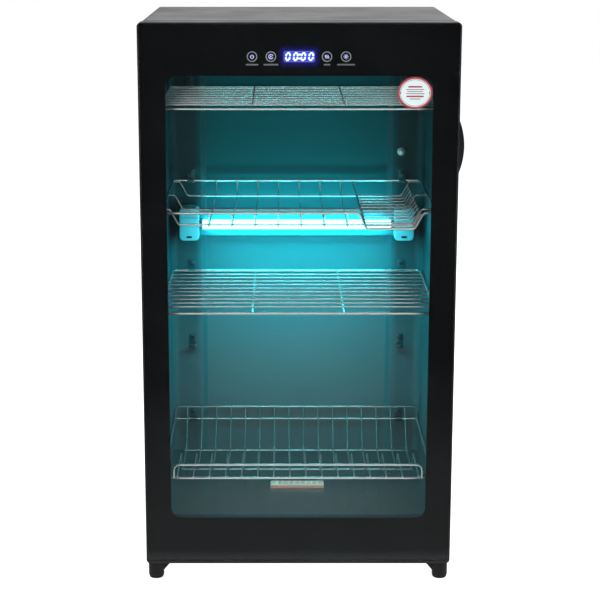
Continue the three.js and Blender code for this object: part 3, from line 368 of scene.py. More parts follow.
def finish(name, color, roughness, metallic=0.0, second=None, dimples=900.0, grain=None, depth=1.0,
           bump=0.00002, rough_swing=0.08, rub=0.0, rub_color=(0.2, 0.2, 0.2), rub_width=0.0008, dust=0.1,
           smears=0.06, round_edge=0.0004, mirror=0.5):
    """A dimpled or grained finish with rubbed edges, dust and wiping marks; bump and widths are in metres."""
    material, tree, shader = bare_material(name, color, roughness, metallic)
    feed(tree, shader, "Specular IOR Level", mirror)
    pattern = use(tree, GRAIN, Stretch=grain, Depth=depth) if grain else use(tree, COAT, Dimples=dimples)
    second = second or tuple(min(1.0, part * 1.35 + 0.004) for part in color)
    base = blend_colors(tree, span(tree, pattern["Tone"], 0.35, 0.65), color, second)
    rough = span(tree, pattern["Tone"], 0.3, 0.7, roughness - rough_swing, roughness + rough_swing)
    if rub:
        base = blend_colors(tree, use(tree, RUB, Width=rub_width, Amount=rub)["Mask"], base, rub_color)
    lint = use(tree, DUST, Amount=dust, Smears=smears)
    base = blend_colors(tree, lint["Mask"], base, LINT_COLOR)
    rough = plus(tree, rough, lint["Smear"])
    feed(tree, shader, "Base Color", base)
    feed(tree, shader, "Roughness", plus(tree, rough, times(tree, lint["Mask"], 0.5), True))
    raised = put(tree, "ShaderNodeBump", Height=pattern["Height"], Distance=bump, Strength=1.0)
    if round_edge:
        soft = put(tree, "ShaderNodeBevel", Radius=round_edge)
        soft.samples = 4
        feed(tree, raised, "Normal", soft.outputs["Normal"])
    feed(tree, shader, "Normal", raised.outputs["Normal"])
    return material


def print_finish():
    """Black print fired onto the pane's back, so it mirrors nothing, with a blue glow round the clock."""
    material = finish("fired_print_black", (0.003, 0.003, 0.0034), 0.6, dimples=2600.0, bump=0.00001,
                      dust=0.0, smears=0.1, round_edge=0, mirror=0.03)
    tree = material.node_tree
    parts = from_clock(tree, object_spot(tree))
    past = []
    for axis, half in (("X", CLOCK_HALF * MM), ("Z", CLOCK_HALF_HEIGHT * MM)):
        over = figure(tree, "SUBTRACT", figure(tree, "ABSOLUTE", parts[axis]), half)
        past.append(figure(tree, "POWER", figure(tree, "MAXIMUM", over, 0.0), 2.0))
    away = figure(tree, "SQRT", plus(tree, *past))
    reach = 0.011
    near = figure(tree, "POWER", span(tree, away, 0.0, reach, 1.0, 0.0), 2.2)
    light_up(tree, blend_colors(tree, near, (0.0, 0.0, 0.0), (0.012, 0.012, 0.2)), 1.0)
    return material


def film_finish():
    """White label film, with a painted glow that stands for the light from behind coming through it."""
    material = finish("label_film_white", (0.94, 0.93, 0.92), 0.4, second=(0.97, 0.96, 0.95), dimples=2500.0,
                      bump=0.000005, dust=0.0, round_edge=0)
    tree = material.node_tree
    # Painted light: the film glows by itself at about a third of its own colour.
    light_up(tree, tree.nodes["Principled BSDF"].inputs["Base Color"].links[0].from_socket, 0.32)
    return material


def liner_finish():
    """Satin sheet with painted light: its teal cast is partly its own colour and partly painted tube light,
    strongest on its upper part, with painted highlights along the back field's bends and painted shade on its
    sides.
    """
    material = finish(
        "liner_satin_steel", (0.16, 0.245, 0.25), 0.46, 0.35, second=(0.18, 0.27, 0.275), grain=BRUSH_UP,
        bump=0.000012, rough_swing=0.07, dust=0.0, smears=0.1, round_edge=0.0008, mirror=0.12)
    tree = material.node_tree
    base = tree.nodes["Principled BSDF"].inputs["Base Color"]
    parts = from_middle(tree, object_spot(tree))
    aside = figure(tree, "ABSOLUTE", parts["X"])
    height = parts["Z"]
    # Painted tube light: the sheet turns teal towards the top.
    upper = span(tree, height, 0.24, 0.54, 0.0, 0.98)
    painted_lamp_tint = blend_colors(tree, upper, base.links[0].from_socket, (0.004, 0.16, 0.18))
    # Painted shade: the side walls and the outer strips of the back are darkened, more towards the top.
    beside = times(tree, span(tree, aside, 0.154, 0.166), span(tree, height, 0.2, 0.46, 0.25, 0.72))
    darker = blend_colors(tree, beside, painted_lamp_tint, (0.036, 0.034, 0.036))
    # Painted highlight: bright cyan strips along the bends at the edges of the raised field on the back wall.
    bend_middle = (FIELD_HALF + FIELD_FOOT) / 2 * MM
    off_bend = figure(tree, "ABSOLUTE", figure(tree, "SUBTRACT", aside, bend_middle))
    bend = span(tree, off_bend, 0.003, 0.0055, 0.5, 0.0)
    at_back = span(tree, parts["Y"], 0.15, 0.158)
    feed(tree, tree.nodes["Principled BSDF"], "Base Color",
         blend_colors(tree, times(tree, bend, at_back), darker, (0.16, 0.52, 0.56)))
    return material


def glass_finish():
    """Toughened pane, slightly smoky, with faint wiping marks; its shadow is as clear as its tint."""
    material, tree, shader = bare_material("door_pane_glass", (0.88, 0.93, 0.935), 0.0)
    feed(tree, shader, "Transmission Weight", 1.0)
    feed(tree, shader, "IOR", 1.5)
    feed(tree, shader, "Roughness", use(tree, DUST, Amount=0.0, Smears=0.035)["Smear"])
    waves = cloud(tree, object_spot(tree), 9.0, 1.0)
    raised = put(tree, "ShaderNodeBump", Height=waves, Distance=0.00001, Strength=0.3)
    feed(tree, shader, "Normal", raised.outputs["Normal"])
    clear = put(tree, "ShaderNodeBsdfTransparent", Color=(0.72, 0.8, 0.82, 1.0))
    shadow = put(tree, "ShaderNodeLightPath").outputs["Is Shadow Ray"]
    mixed = mix_shaders(tree, shadow, shader, clear)
    feed(tree, tree.nodes["Material Output"], "Surface", mixed.outputs[0])
    return material


def tube_finish():
    """Lit tube: cyan, dimmer and bluer towards its ends, with a whiter core that no reflection shows."""
    material, tree = bare_material("lit_tube", (0.75, 0.95, 1.0), 0.15)[:2]
    spot = object_spot(tree)
    aside = figure(tree, "ABSOLUTE", from_middle(tree, spot)["X"])
    glow = blend_colors(tree, span(tree, aside, 0.125, 0.156), (0.03, 0.77, 0.86), (0.0, 0.12, 0.2))
    wisps = span(tree, cloud(tree, spot, 60.0), 0.3, 0.7, 0.0, 0.12)
    glow = blend_colors(tree, wisps, glow, (0.025, 0.62, 0.76))
    facing = put(tree, "ShaderNodeLayerWeight", Blend=0.35).outputs["Facing"]
    path = tree.nodes.new("ShaderNodeLightPath").outputs
    direct = figure(tree, "LESS_THAN", plus(tree, path["Diffuse Depth"], path["Glossy Depth"]), 0.5)
    core = times(tree, span(tree, facing, 0.0, 0.7, 0.9, 0.0), direct)
    light_up(tree, blend_colors(tree, core, glow, (0.12, 0.8, 0.86)), 47.0)
    return material


def display_finish():
    """Lit window behind the clock's figures: bright blue, deeper towards its rim."""
    material, tree = bare_material("clock_window", (0.02, 0.03, 0.12), 0.35)[:2]
    spot = object_spot(tree)
    parts = from_clock(tree, spot, (0.024, 1.0, 0.0105))
    across = figure(tree, "POWER", figure(tree, "ABSOLUTE", parts["X"]), 4.0)
    upward = figure(tree, "POWER", figure(tree, "ABSOLUTE", parts["Z"]), 2.0)
    grain = span(tree, cloud(tree, spot, 900.0), 0.3, 0.7, -0.06, 0.06)
    share = plus(tree, plus(tree, across, upward, True), grain, True)
    light_up(tree, blend_colors(tree, share, (0.035, 0.06, 0.95), (0.01, 0.012, 0.3)), 1.0)
    return material


def glow_finish(name, color, second, strength):
    """Small lit mark whose colour wavers a little."""
    material, tree = bare_material(name, color, 0.4)[:2]
    share = span(tree, cloud(tree, object_spot(tree), 420.0, 2.0), 0.35, 0.65)
    light_up(tree, blend_colors(tree, share, color, second), strength)
    return material


def ink_finish(name, color, second=None):
    """Smooth printed ink of the label."""
    return finish(name, color, 0.4, second=second, dimples=2500.0, bump=0.000005, dust=0.0, round_edge=0)


FINISH = {
    "case_black": finish(
        "case_powder_black", (0.011, 0.0115, 0.0125), 0.34, dimples=700.0, bump=0.00006, rub=0.35,
        rub_color=(0.12, 0.12, 0.125), dust=0.05, smears=0.035, mirror=0.34),
    "frame_black": finish(
        "frame_powder_black", (0.010, 0.0105, 0.0115), 0.4, dimples=800.0, bump=0.00005, rub=0.25,
        rub_color=(0.1, 0.1, 0.105), dust=0.06),
    "door_black": finish(
        "door_satin_black", (0.008, 0.008, 0.009), 0.38, dimples=1500.0, bump=0.00003, rub=0.3,
        rub_color=(0.07, 0.07, 0.075), dust=0.12),
    "handle_black": finish(
        "handle_satin_black", (0.009, 0.009, 0.010), 0.3, dimples=1800.0, rub=0.4,
        rub_color=(0.06, 0.06, 0.065), smears=0.16, round_edge=0),
    "print_black": print_finish(),
    "rubber": finish(
        "seal_rubber", (0.006, 0.006, 0.0065), 0.62, dimples=1300.0, bump=0.00005, rub=0.2,
        rub_color=(0.03, 0.03, 0.03), dust=0.08, round_edge=0.0006, mirror=0.25),
    "strap_black": finish(
        "strap_black_zinc", (0.008, 0.008, 0.0085), 0.5, 0.4, bump=0.00005, rub=0.2,
        rub_color=(0.03, 0.03, 0.032), dust=0.06, mirror=0.25),
    "nylon": finish("bush_nylon", (0.62, 0.6, 0.53), 0.45, second=(0.7, 0.68, 0.6), dimples=2000.0),
    "liner": liner_finish(),
    "liner_floor": finish(
        "floor_satin_steel", (0.15, 0.12, 0.115), 0.24, 0.5, second=(0.16, 0.13, 0.125), grain=BRUSH_ALONG,
        bump=0.000002, rough_swing=0.03, dust=0.0, smears=0.01, round_edge=0.0006),
    "chrome": finish(
        "wire_chrome", (0.7, 0.66, 0.63), 0.2, 0.9, second=(0.62, 0.59, 0.57), grain=DRAWN, rough_swing=0.06,
        dust=0.0, smears=0.08, round_edge=0),
    # Painted lamp light and shade: the steel hooks are coloured a dark teal so that they look lit by the tube
    # and as dim as the wall behind them.
    "hook_steel": finish(
        "hook_steel", (0.05, 0.11, 0.12), 0.3, 0.7, second=(0.07, 0.15, 0.16), grain=DRAWN, bump=0.00001,
        dust=0.0, round_edge=0.0002),
    "probe_steel": finish(
        "probe_cap_steel", (0.82, 0.84, 0.85), 0.3, 0.6, second=(0.76, 0.78, 0.8), grain=DRAWN, bump=0.00001,
        dust=0.0, round_edge=0),
    "zinc": finish(
        "plated_zinc", (0.42, 0.43, 0.44), 0.36, 0.95, second=(0.5, 0.5, 0.47), grain=(90.0, 90.0, 90.0),
        depth=0.6, rub=0.3, rub_color=(0.7, 0.7, 0.7)),
    "screw": finish(
        "screw_black_zinc", (0.03, 0.03, 0.033), 0.32, 0.7, second=(0.045, 0.045, 0.05), grain=DRAWN,
        bump=0.00001, rub=0.6, rub_color=(0.3, 0.3, 0.3), rub_width=0.0004),
    "lamp_plastic": finish(
        "holder_plastic", (0.2, 0.5, 0.53), 0.2, second=(0.26, 0.56, 0.58), dimples=2200.0, bump=0.00001,
        dust=0.06, round_edge=0.0006),
    "end_cap": finish(
        "end_cap_aluminium", (0.6, 0.62, 0.63), 0.28, 1.0, grain=(900.0, 60.0, 60.0), bump=0.00001, dust=0.0,
        round_edge=0),
    "board": finish(
        "board_lacquer_green", (0.02, 0.11, 0.05), 0.35, second=(0.03, 0.15, 0.07), dimples=500.0),
    "cream": finish(
        "heater_cream", (0.93, 0.76, 0.6), 0.46, second=(0.96, 0.81, 0.66), dimples=1500.0, bump=0.00003,
        rub=0.2, rub_color=(0.8, 0.78, 0.68), dust=0.12, round_edge=0.0005),
    "fin": finish("core_aluminium", (0.5, 0.51, 0.52), 0.38, 0.95, grain=(60.0, 60.0, 1100.0), dust=0.12),
    "fan_black": finish(
        "fan_plastic_black", (0.014, 0.014, 0.015), 0.5, dimples=1700.0, bump=0.00004, rub=0.2,
        rub_color=(0.06, 0.06, 0.06), dust=0.25),
    "magnet": finish(
        "magnet_sintered", (0.12, 0.12, 0.125), 0.5, 0.6, second=(0.16, 0.16, 0.165), dimples=1100.0,
        bump=0.00006, rub=0.4, rub_color=(0.35, 0.35, 0.35)),
    "dark_slot": finish("slot_shadow", (0.01, 0.012, 0.013), 0.7, dimples=1500.0, dust=0.0),
    "label_white": film_finish(),
    "label_red": ink_finish("label_ink_red", (0.72, 0.06, 0.09), (0.8, 0.08, 0.11)),
    "label_pale": ink_finish("label_ink_pale", (0.52, 0.36, 0.37), (0.6, 0.44, 0.45)),
    "label_dark": ink_finish("label_ink_dark", (0.05, 0.04, 0.045)),
    "glass": glass_finish(),
    "tube": tube_finish(),
    "display": display_finish(),
    "digit": glow_finish("clock_figures", (0.8, 0.85, 1.0), (0.62, 0.7, 1.0), 1.6),
    "clock_rim": glow_finish("clock_rim", (0.2, 0.17, 0.75), (0.14, 0.12, 0.6), 0.7),
    "key_ring": glow_finish("key_rings", (0.24, 0.24, 0.23), (0.17, 0.17, 0.17), 0.9),
    "key_sign": glow_finish("key_signs", (0.62, 0.55, 0.95), (0.42, 0.36, 0.75), 0.95),
    "key_bar": glow_finish("key_bars", (0.13, 0.125, 0.12), (0.08, 0.078, 0.075), 0.9),
}


# Shape helpers


def turned(vector, angle):
    return Vector((vector.x * math.cos(angle) - vector.y * math.sin(angle),
                   vector.x * math.sin(angle) + vector.y * math.cos(angle)))


def rounded(points, radius, steps=6):
    """Closed outline with an arc of one radius, or of one radius each, at its corners."""
    straight = math.pi - 0.01
    longest_cut = 0.499
    count = len(points)
    radii = radius if isinstance(radius, (list, tuple)) else [radius] * count
    made = []
    for index, point in enumerate(points):
        here = Vector(point)
        before = Vector(points[index - 1]) - here
        after = Vector(points[(index + 1) % count]) - here
        turn = before.angle(after)
        if radii[index] <= 0 or turn > straight:
            made.append(here)
            continue
        cut = min(radii[index] / math.tan(turn / 2), before.length * longest_cut, after.length * longest_cut)
        size = cut * math.tan(turn / 2)
        first = here + before.normalized() * cut
        last = here + after.normalized() * cut
        centre = here + (before.normalized() + after.normalized()).normalized() * (size / math.sin(turn / 2))
        start = first - centre
        sweep = start.angle_signed(last - centre)
        for step in range(steps + 1):
            made.append(centre + turned(start, -sweep * step / steps))
    return made


def rect(left, right, low, high, radius=0.0, steps=6):
    return rounded([(left, low), (right, low), (right, high), (left, high)], radius, steps)


def oval(x, y, half_width, half_height, steps):
    """Closed outline with its axes along X and Y."""
    turns = [math.tau * step / steps for step in range(steps)]
    return [Vector((x + half_width * math.cos(turn), y + half_height * math.sin(turn))) for turn in turns]


def circle(x, y, radius, steps=32):
    return oval(x, y, radius, radius, steps)


def area_of(loop):
    return sum(a.x * b.y - b.x * a.y for a, b in zip(loop, loop[1:] + loop[:1])) / 2


def shown(mesh, name):
    obj = bpy.data.objects.new(name, mesh)
    bpy.context.scene.collection.objects.link(obj)
    return obj


def evaluated_mesh(obj):
    """The plain mesh of an object with its modifiers in it; the object itself goes."""
    bpy.context.view_layer.update()
    graph = bpy.context.evaluated_depsgraph_get()
    mesh = bpy.data.meshes.new_from_object(obj.evaluated_get(graph), depsgraph=graph)
    bpy.data.objects.remove(obj)
    return mesh


def simplified(mesh, reach, angle):
    """Joins points closer than a reach in metres, and faces that lie within an angle in degrees."""
    work = bmesh.new()
    work.from_mesh(mesh)
    bmesh.ops.remove_doubles(work, verts=work.verts, dist=reach)
    bmesh.ops.dissolve_limit(work, angle_limit=math.radians(angle), verts=work.verts, edges=work.edges)
    work.to_mesh(mesh)
    work.free()


def tidy(mesh, steep=35.0):
    """Joins doubled points, turns faces outwards and keeps sharp only the steep edges."""
    work = bmesh.new()
    work.from_mesh(mesh)
    bmesh.ops.remove_doubles(work, verts=work.verts, dist=1e-6)
    bmesh.ops.dissolve_degenerate(work, edges=work.edges, dist=1e-7)
    bmesh.ops.recalc_face_normals(work, faces=work.faces)
    for face in work.faces:
        face.smooth = True
    for seam in work.edges:
        seam.smooth = len(seam.link_faces) != 2 or seam.calc_face_angle(0.0) <= math.radians(steep)
    work.to_mesh(mesh)
    work.free()
    mesh.update()


def dress(mesh, material):
    """Puts one material on a whole mesh."""
    mesh.materials.clear()
    mesh.materials.append(material)
    for face in mesh.polygons:
        face.material_index = 0


AXES = {
    "x": Matrix(((0, 0, 1, SIDE_SHIFT), (1, 0, 0, -DEPTH_MID), (0, 1, 0, 0), (0, 0, 0, 1))),
    "y": Matrix(((1, 0, 0, SIDE_SHIFT), (0, 0, -1, 0), (0, 1, 0, 0), (0, 0, 0, 1))),
    "z": Matrix(((1, 0, 0, SIDE_SHIFT), (0, 1, 0, -DEPTH_MID), (0, 0, 1, 0), (0, 0, 0, 1))),
}


def plate(loops, start, end, edge, finish_name=None, axis="y", edge_steps=2):
    """A plate between two limits along an axis, with holes and rounded rims.

    Outlines are X and Z for axis y, X and depth for axis z, depth and Z for axis x."""
    curve = bpy.data.curves.new("plate", "CURVE")
    curve.dimensions = "2D"
    curve.fill_mode = "BOTH"
    for index, loop in enumerate(loops):
        points = [Vector(point) for point in loop]
        if (area_of(points) > 0) != (index == 0):
            points.reverse()
        spline = curve.splines.new("POLY")
        spline.points.add(len(points) - 1)
        for slot, point in zip(spline.points, points):
            slot.co = (point.x, point.y, 0.0, 1.0)
        spline.use_cyclic_u = True
    edge = min(edge, (end - start) * 0.45)
    curve.extrude = (end - start) / 2 - edge
    curve.bevel_depth = edge
    curve.bevel_resolution = edge_steps
    curve.offset = -edge
    mesh = evaluated_mesh(shown(curve, "plate"))
    middle = (start + end) / 2
    if axis == "y":
        middle = DEPTH_MID - middle
    mesh.transform(Matrix.Translation((0.0, 0.0, middle)))
    mesh.transform(AXES[axis])
    mesh.transform(Matrix.Scale(MM, 4))
    tidy(mesh)
    if finish_name:
        dress(mesh, FINISH[finish_name])
    return mesh


def block(left, right, front, back, low, high, edge=0.05, finish_name=None):
    return plate([rect(left, right, low, high)], front, back, edge, finish_name, edge_steps=1)


def lathe(profile, centre, axis="z", steps=32, finish_name=None):
    """A turned solid; the profile gives radius and place along the axis."""
    work = bmesh.new()
    rings = []
    for radius, along in profile:
        points = [(point.x, point.y, along) for point in circle(0.0, 0.0, radius, steps)]
        if radius <= 0:
            points = [(0.0, 0.0, along)]
        rings.append([work.verts.new(point) for point in points])
    for first, second in zip(rings, rings[1:]):
        for step in range(steps):
            after = (step + 1) % steps
            corners = [first[step % len(first)], first[after % len(first)],
                       second[after % len(second)], second[step % len(second)]]
            corners = list(dict.fromkeys(corners))
            if len(corners) > 2:
                work.faces.new(corners)
    bmesh.ops.recalc_face_normals(work, faces=work.faces)
    mesh = bpy.data.meshes.new("lathe")
    work.to_mesh(mesh)
    work.free()
    if axis == "x":
        mesh.transform(Matrix.Rotation(math.pi / 2, 4, "Y"))
    if axis == "y":
        mesh.transform(Matrix.Rotation(-math.pi / 2, 4, "X"))
    mesh.transform(Matrix.Scale(MM, 4))
    mesh.transform(Matrix.Translation(place(*centre)))
    tidy(mesh)
    if finish_name:
        dress(mesh, FINISH[finish_name])
    return mesh


def rod(radius, low, high, centre, axis="z", steps=28):
    """A round tool between two places along its axis."""
    return lathe([(0.0, low), (radius, low), (radius, high), (0.0, high)], centre, axis, steps)


def carved(mesh, tools, finish_name):
    """A mesh with closed tools taken out of it."""
    obj = shown(mesh, "carved")
    helpers = [shown(tool, "tool") for tool in tools]
    for helper in helpers:
        modifier = obj.modifiers.new("carving", "BOOLEAN")
        modifier.operation = "DIFFERENCE"
        modifier.solver = "EXACT"
        modifier.object = helper
    made = evaluated_mesh(obj)
    for helper in helpers:
        bpy.data.objects.remove(helper)
    tidy(made)
    dress(made, FINISH[finish_name])
    return made


def eased(mesh, width, steps, finish_name):
    """A closed mesh with its steep edges rounded."""
    simplified(mesh, 1e-5, 1.0)
    obj = shown(mesh, "easing")
    bevel = obj.modifiers.new("rounding", "BEVEL")
    bevel.width = width * MM
    bevel.segments = steps
    bevel.limit_method = "ANGLE"
    bevel.angle_limit = math.radians(40.0)
    made = evaluated_mesh(obj)
    tidy(made)
    dress(made, FINISH[finish_name])
    return made


def copy_of(node, finish_name):
    """A node's own shape with its triangles joined."""
    mesh = nodes[node].data.copy()
    simplified(mesh, 1e-6, 0.5)
    tidy(mesh)
    dress(mesh, FINISH[finish_name])
    return mesh


def joined(name, meshes, body, replaces=(), weighted=True):
    """One piece out of several meshes; it rides on a body and stands for some nodes."""
    whole = bmesh.new()
    materials = []
    for mesh in meshes:
        start = len(whole.faces)
        whole.from_mesh(mesh)
        whole.faces.ensure_lookup_table()
        own = list(mesh.materials)
        for material in own:
            if material not in materials:
                materials.append(material)
        for face in whole.faces[start:]:
            face.material_index = materials.index(own[face.material_index])
        bpy.data.meshes.remove(mesh)
    made = bpy.data.meshes.new(name)
    whole.to_mesh(made)
    whole.free()
    for material in materials:
        made.materials.append(material)
    obj = shown(made, name)
    if weighted:
        modifier = obj.modifiers.new("even_shading", "WEIGHTED_NORMAL")
        modifier.keep_sharp = True
        obj = shown(evaluated_mesh(obj), name)
    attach(obj, body)
    if replaces:
        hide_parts(*replaces)


# Geometry node trees for wires, weld beads and fasteners

LENGTH = "NodeSocketFloat"
WHOLE = "NodeSocketInt"
STEP = "NodeSocketVector"
SHAPE = "NodeSocketGeometry"
FINISH_INPUT = ("Finish", "NodeSocketMaterial", None)
ROW_INPUTS = [("Copies", WHOLE, 1), ("Spacing", STEP, (0.0, 0.0, 0.0)), FINISH_INPUT]
FACING_FRONT = (math.pi / 2, 0.0, 0.0)
FACING_BACK = (-math.pi / 2, 0.0, 0.0)


def on_each(tree, points, shape):
    return put(tree, "GeometryNodeInstanceOnPoints", Points=points, Instance=shape).outputs[0]


def in_row(tree, given, shape):
    """Copies of a shape in even steps."""
    row = put(tree, "GeometryNodeMeshLine", Count=given["Copies"], Offset=given["Spacing"])
    return on_each(tree, row.outputs[0], shape)


def smoothed(tree, shape):
    node = tree.nodes.new("GeometryNodeSetShadeSmooth")
    feed(tree, node, 0, shape)
    return node.outputs[0]


def end_tree(tree, given, out, shape):
    """Makes the copies real and puts the finish on them."""
    real = put(tree, "GeometryNodeRealizeInstances", Geometry=shape)
    coat = put(tree, "GeometryNodeSetMaterial", Geometry=real.outputs[0], Material=given["Finish"])
    feed(tree, out, 0, coat.outputs[0])
    return tree


def wire_tree():
    """Bent round wire along the seed's edges, repeated in even steps."""
    tree, given, out = new_group("bent_wires", "GeometryNodeTree", [
        ("Path", SHAPE, None), ("Wire radius", LENGTH, 0.001), ("Bend radius", LENGTH, 0.005),
        ("Bend steps", WHOLE, 5), ("Sides", WHOLE, 10), *ROW_INPUTS], [("Wires", SHAPE)])
    line = put(tree, "GeometryNodeMeshToCurve", Mesh=given["Path"])
    bend = tree.nodes.new("GeometryNodeFilletCurve")
    bend.mode = "POLY"
    for name, value in (("Curve", line.outputs[0]), ("Count", given["Bend steps"]),
                        ("Radius", given["Bend radius"]), ("Limit Radius", True)):
        feed(tree, bend, name, value)
    ring = put(tree, "GeometryNodeCurvePrimitiveCircle", Resolution=given["Sides"],
               Radius=given["Wire radius"])
    body = put(tree, "GeometryNodeCurveToMesh", Curve=bend.outputs[0], Profile_Curve=ring.outputs[0],
               Fill_Caps=True)
    return end_tree(tree, given, out, smoothed(tree, in_row(tree, given, body.outputs[0])))


def bead_tree():
    """Small weld beads on the seed's points, each repeated in even steps."""
    tree, given, out = new_group("weld_beads", "GeometryNodeTree", [
        ("Places", SHAPE, None), ("Bead radius", LENGTH, 0.0016), *ROW_INPUTS], [("Beads", SHAPE)])
    bead = put(tree, "GeometryNodeMeshUVSphere", Segments=8, Rings=6, Radius=given["Bead radius"])
    one = on_each(tree, given["Places"], bead.outputs[0])
    return end_tree(tree, given, out, smoothed(tree, in_row(tree, given, one)))


def fastener_tree():
    """Pan-head screws with a crossed recess, one on each point, driven in along one direction."""
    tree, given, out = new_group("pan_screws", "GeometryNodeTree", [
        ("Places", SHAPE, None), ("Head radius", LENGTH, 0.003), ("Head height", LENGTH, 0.0012),
        ("Turn", STEP, (0.0, 0.0, 0.0)), FINISH_INPUT], [("Screws", SHAPE)])
    radius = given["Head radius"]
    height = given["Head height"]
    ball = put(tree, "GeometryNodeMeshUVSphere", Segments=20, Rings=8, Radius=radius)
    squash = put(tree, "ShaderNodeCombineXYZ", X=1.0, Y=1.0, Z=figure(tree, "DIVIDE", height, radius))
    dome = put(tree, "GeometryNodeTransform", Geometry=ball.outputs[0], Scale=squash.outputs[0])
    recess = tree.nodes.new("GeometryNodeMeshBoolean")
    recess.operation = "DIFFERENCE"
    feed(tree, recess, 0, dome.outputs[0])
    long = times(tree, radius, 1.1)
    thin = times(tree, radius, 0.24)
    tall = times(tree, height, 2.0)
    lift = put(tree, "ShaderNodeCombineXYZ", Z=times(tree, height, 1.35))
    for first, second in ((long, thin), (thin, long)):
        size = put(tree, "ShaderNodeCombineXYZ", X=first, Y=second, Z=tall)
        blade = put(tree, "GeometryNodeMeshCube", Size=size.outputs[0])
        raised = put(tree, "GeometryNodeTransform", Geometry=blade.outputs[0], Translation=lift.outputs[0])
        feed(tree, recess, 1, raised.outputs[0])
    head = put(tree, "GeometryNodeTransform", Geometry=recess.outputs[0], Rotation=given["Turn"])
    return end_tree(tree, given, out, on_each(tree, given["Places"], head.outputs[0]))


WIRES = wire_tree()
BEADS = bead_tree()
SCREWS = fastener_tree()


def grown(tree, places, edges=(), **inputs):
    """Runs a tree on points, and edges between them, and gives the plain result."""
    seed = bpy.data.meshes.new("seed")
    seed.from_pydata([place(*spot) for spot in places], edges, [])
    obj = shown(seed, "seed")
    modifier = obj.modifiers.new("growth", "NODES")
    modifier.node_group = tree
    for item in tree.interface.items_tree:
        name = item.name.replace(" ", "_").lower()
        if item.in_out == "INPUT" and name in inputs:
            modifier[item.identifier] = inputs[name]
    return evaluated_mesh(obj)


def in_metres(step):
    return tuple(part * MM for part in step)


def wires(corners, radius, bend=6.0, copies=1, step=(0.0, 0.0, 0.0), closed=False, sides=10):
    """Round wire through corners given as X, depth and height."""
    last = len(corners) - 1
    edges = [(index, index + 1) for index in range(last)] + ([(last, 0)] if closed else [])
    return grown(WIRES, corners, edges, wire_radius=radius * MM, bend_radius=bend * MM, sides=sides,
                 copies=copies, spacing=in_metres(step), finish=FINISH["chrome"])


def beads(places, radius, copies, step):
    return grown(BEADS, places, bead_radius=radius * MM, copies=copies, spacing=in_metres(step),
                 finish=FINISH["chrome"])


def screws(places, radius, height, turn, finish_name="screw"):
    """Screw heads on places of one face; the turn brings them from facing up to facing out of it."""
    mesh = grown(SCREWS, places, head_radius=radius * MM, head_height=height * MM, turn=turn,
                 finish=FINISH[finish_name])
    tidy(mesh, 40.0)
    return mesh


# Case


def wrap_loop():
    """Section of the bent sheet over both sides and the top."""

    def face(inset):
        half = CASE_HALF - inset
        top = CASE_TOP - inset
        bend = CASE_CORNER - inset
        corners = [(-half, CASE_LOW), (-half, top), (half, top), (half, CASE_LOW)]
        return rounded(corners, [0.0, bend, bend, 0.0], 10)

    return face(0.0) + face(CASE_SHEET)[::-1]


def arched_loop(half, low, high, corner):
    """Outline with its two upper corners rounded."""
    return rounded([(-half, low), (half, low), (half, high), (-half, high)], [0.0, 0.0, corner, corner], 10)


def make_case():
    """The bent shell and the frame round its front."""
    shell = plate([wrap_loop()], CASE_FRONT, CASE_REAR, 0.35, "case_black")
    joined("shell_wrap", [shell], "cabinet", ["outer_shell"])
    frame_loop = arched_loop(FACE_HALF, FACE_LOW, FACE_TOP, CASE_CORNER - CASE_SHEET)
    opening = rect(-LINER_HALF, LINER_HALF, LINER_LOW, LINER_TOP, 10.0, 10)
    ring = plate([frame_loop, opening], CASE_FRONT, FACE_BACK, 0.4, "frame_black")
    joined("face_frame", [ring], "cabinet", ["front_frame"])


def make_back_cover():
    """Thin cover with a row of air slots and the cord's hole, screwed on along its rim."""
    cord = middle_of("cord_inlet")
    loops = [arched_loop(CASE_HALF, CASE_LOW, CASE_TOP, CASE_CORNER), circle(cord[0], cord[2], 7.1, 28)]
    slots = 18
    pitch = 9.0
    half = 1.75
    slot_low = 36.0
    slot_top = 64.0
    for index in range(slots):
        x = (index - (slots - 1) / 2) * pitch
        loops.append(rect(x - half, x + half, slot_low, slot_top, half - 0.01, 5))
    cover = plate(loops, CASE_REAR, COVER_BACK, 0.25, "case_black", edge_steps=1)
    rim = 11.0
    spots = [(side * (CASE_HALF - rim), 70.0 + 180.0 * row) for side in SIDES.values() for row in range(5)]
    spots += [(x, CASE_TOP - rim) for x in (-110.0, 0.0, 110.0)]
    spots += [(x, 31.5) for x in (-150.0, -60.0, 60.0, 150.0)]
    heads = screws([(x, COVER_BACK, z) for x, z in spots], 3.0, 1.2, FACING_BACK)
    joined("back_cover", [cover, heads], "cabinet", ["rear_cover"], False)


def make_side_screws():
    """Three screws low on each side, which hold the shell to the base pan."""
    height = CASE_LOW + 6.4
    heads = []
    for side in SIDES.values():
        spots = [(side * CASE_HALF, depth, height) for depth in (70.0, 200.0, 330.0)]
        heads.append(screws(spots, 3.0, 1.1, (0.0, side * math.pi / 2, 0.0)))
    joined("side_screws", heads, "cabinet", (), False)


# Feet and hinges

FOOT_RADIUS = 11.5


def foot_mesh(x, depth, height):
    """Round foot: a soft pad below a stiffer cup."""
    profile = [(0.0, 0.0), (8.6, 0.0), (9.8, 0.4), (10.6, 1.4), (10.9, 2.6), (10.3, 3.2), (10.3, 3.6),
               (11.0, 4.0), (11.4, 4.6), (FOOT_RADIUS, 5.4), (FOOT_RADIUS, height - 0.8),
               (FOOT_RADIUS - 0.3, height - 0.2), (10.8, height), (0.0, height)]
    return lathe(profile, (x, depth, 0.0), steps=40, finish_name="rubber")


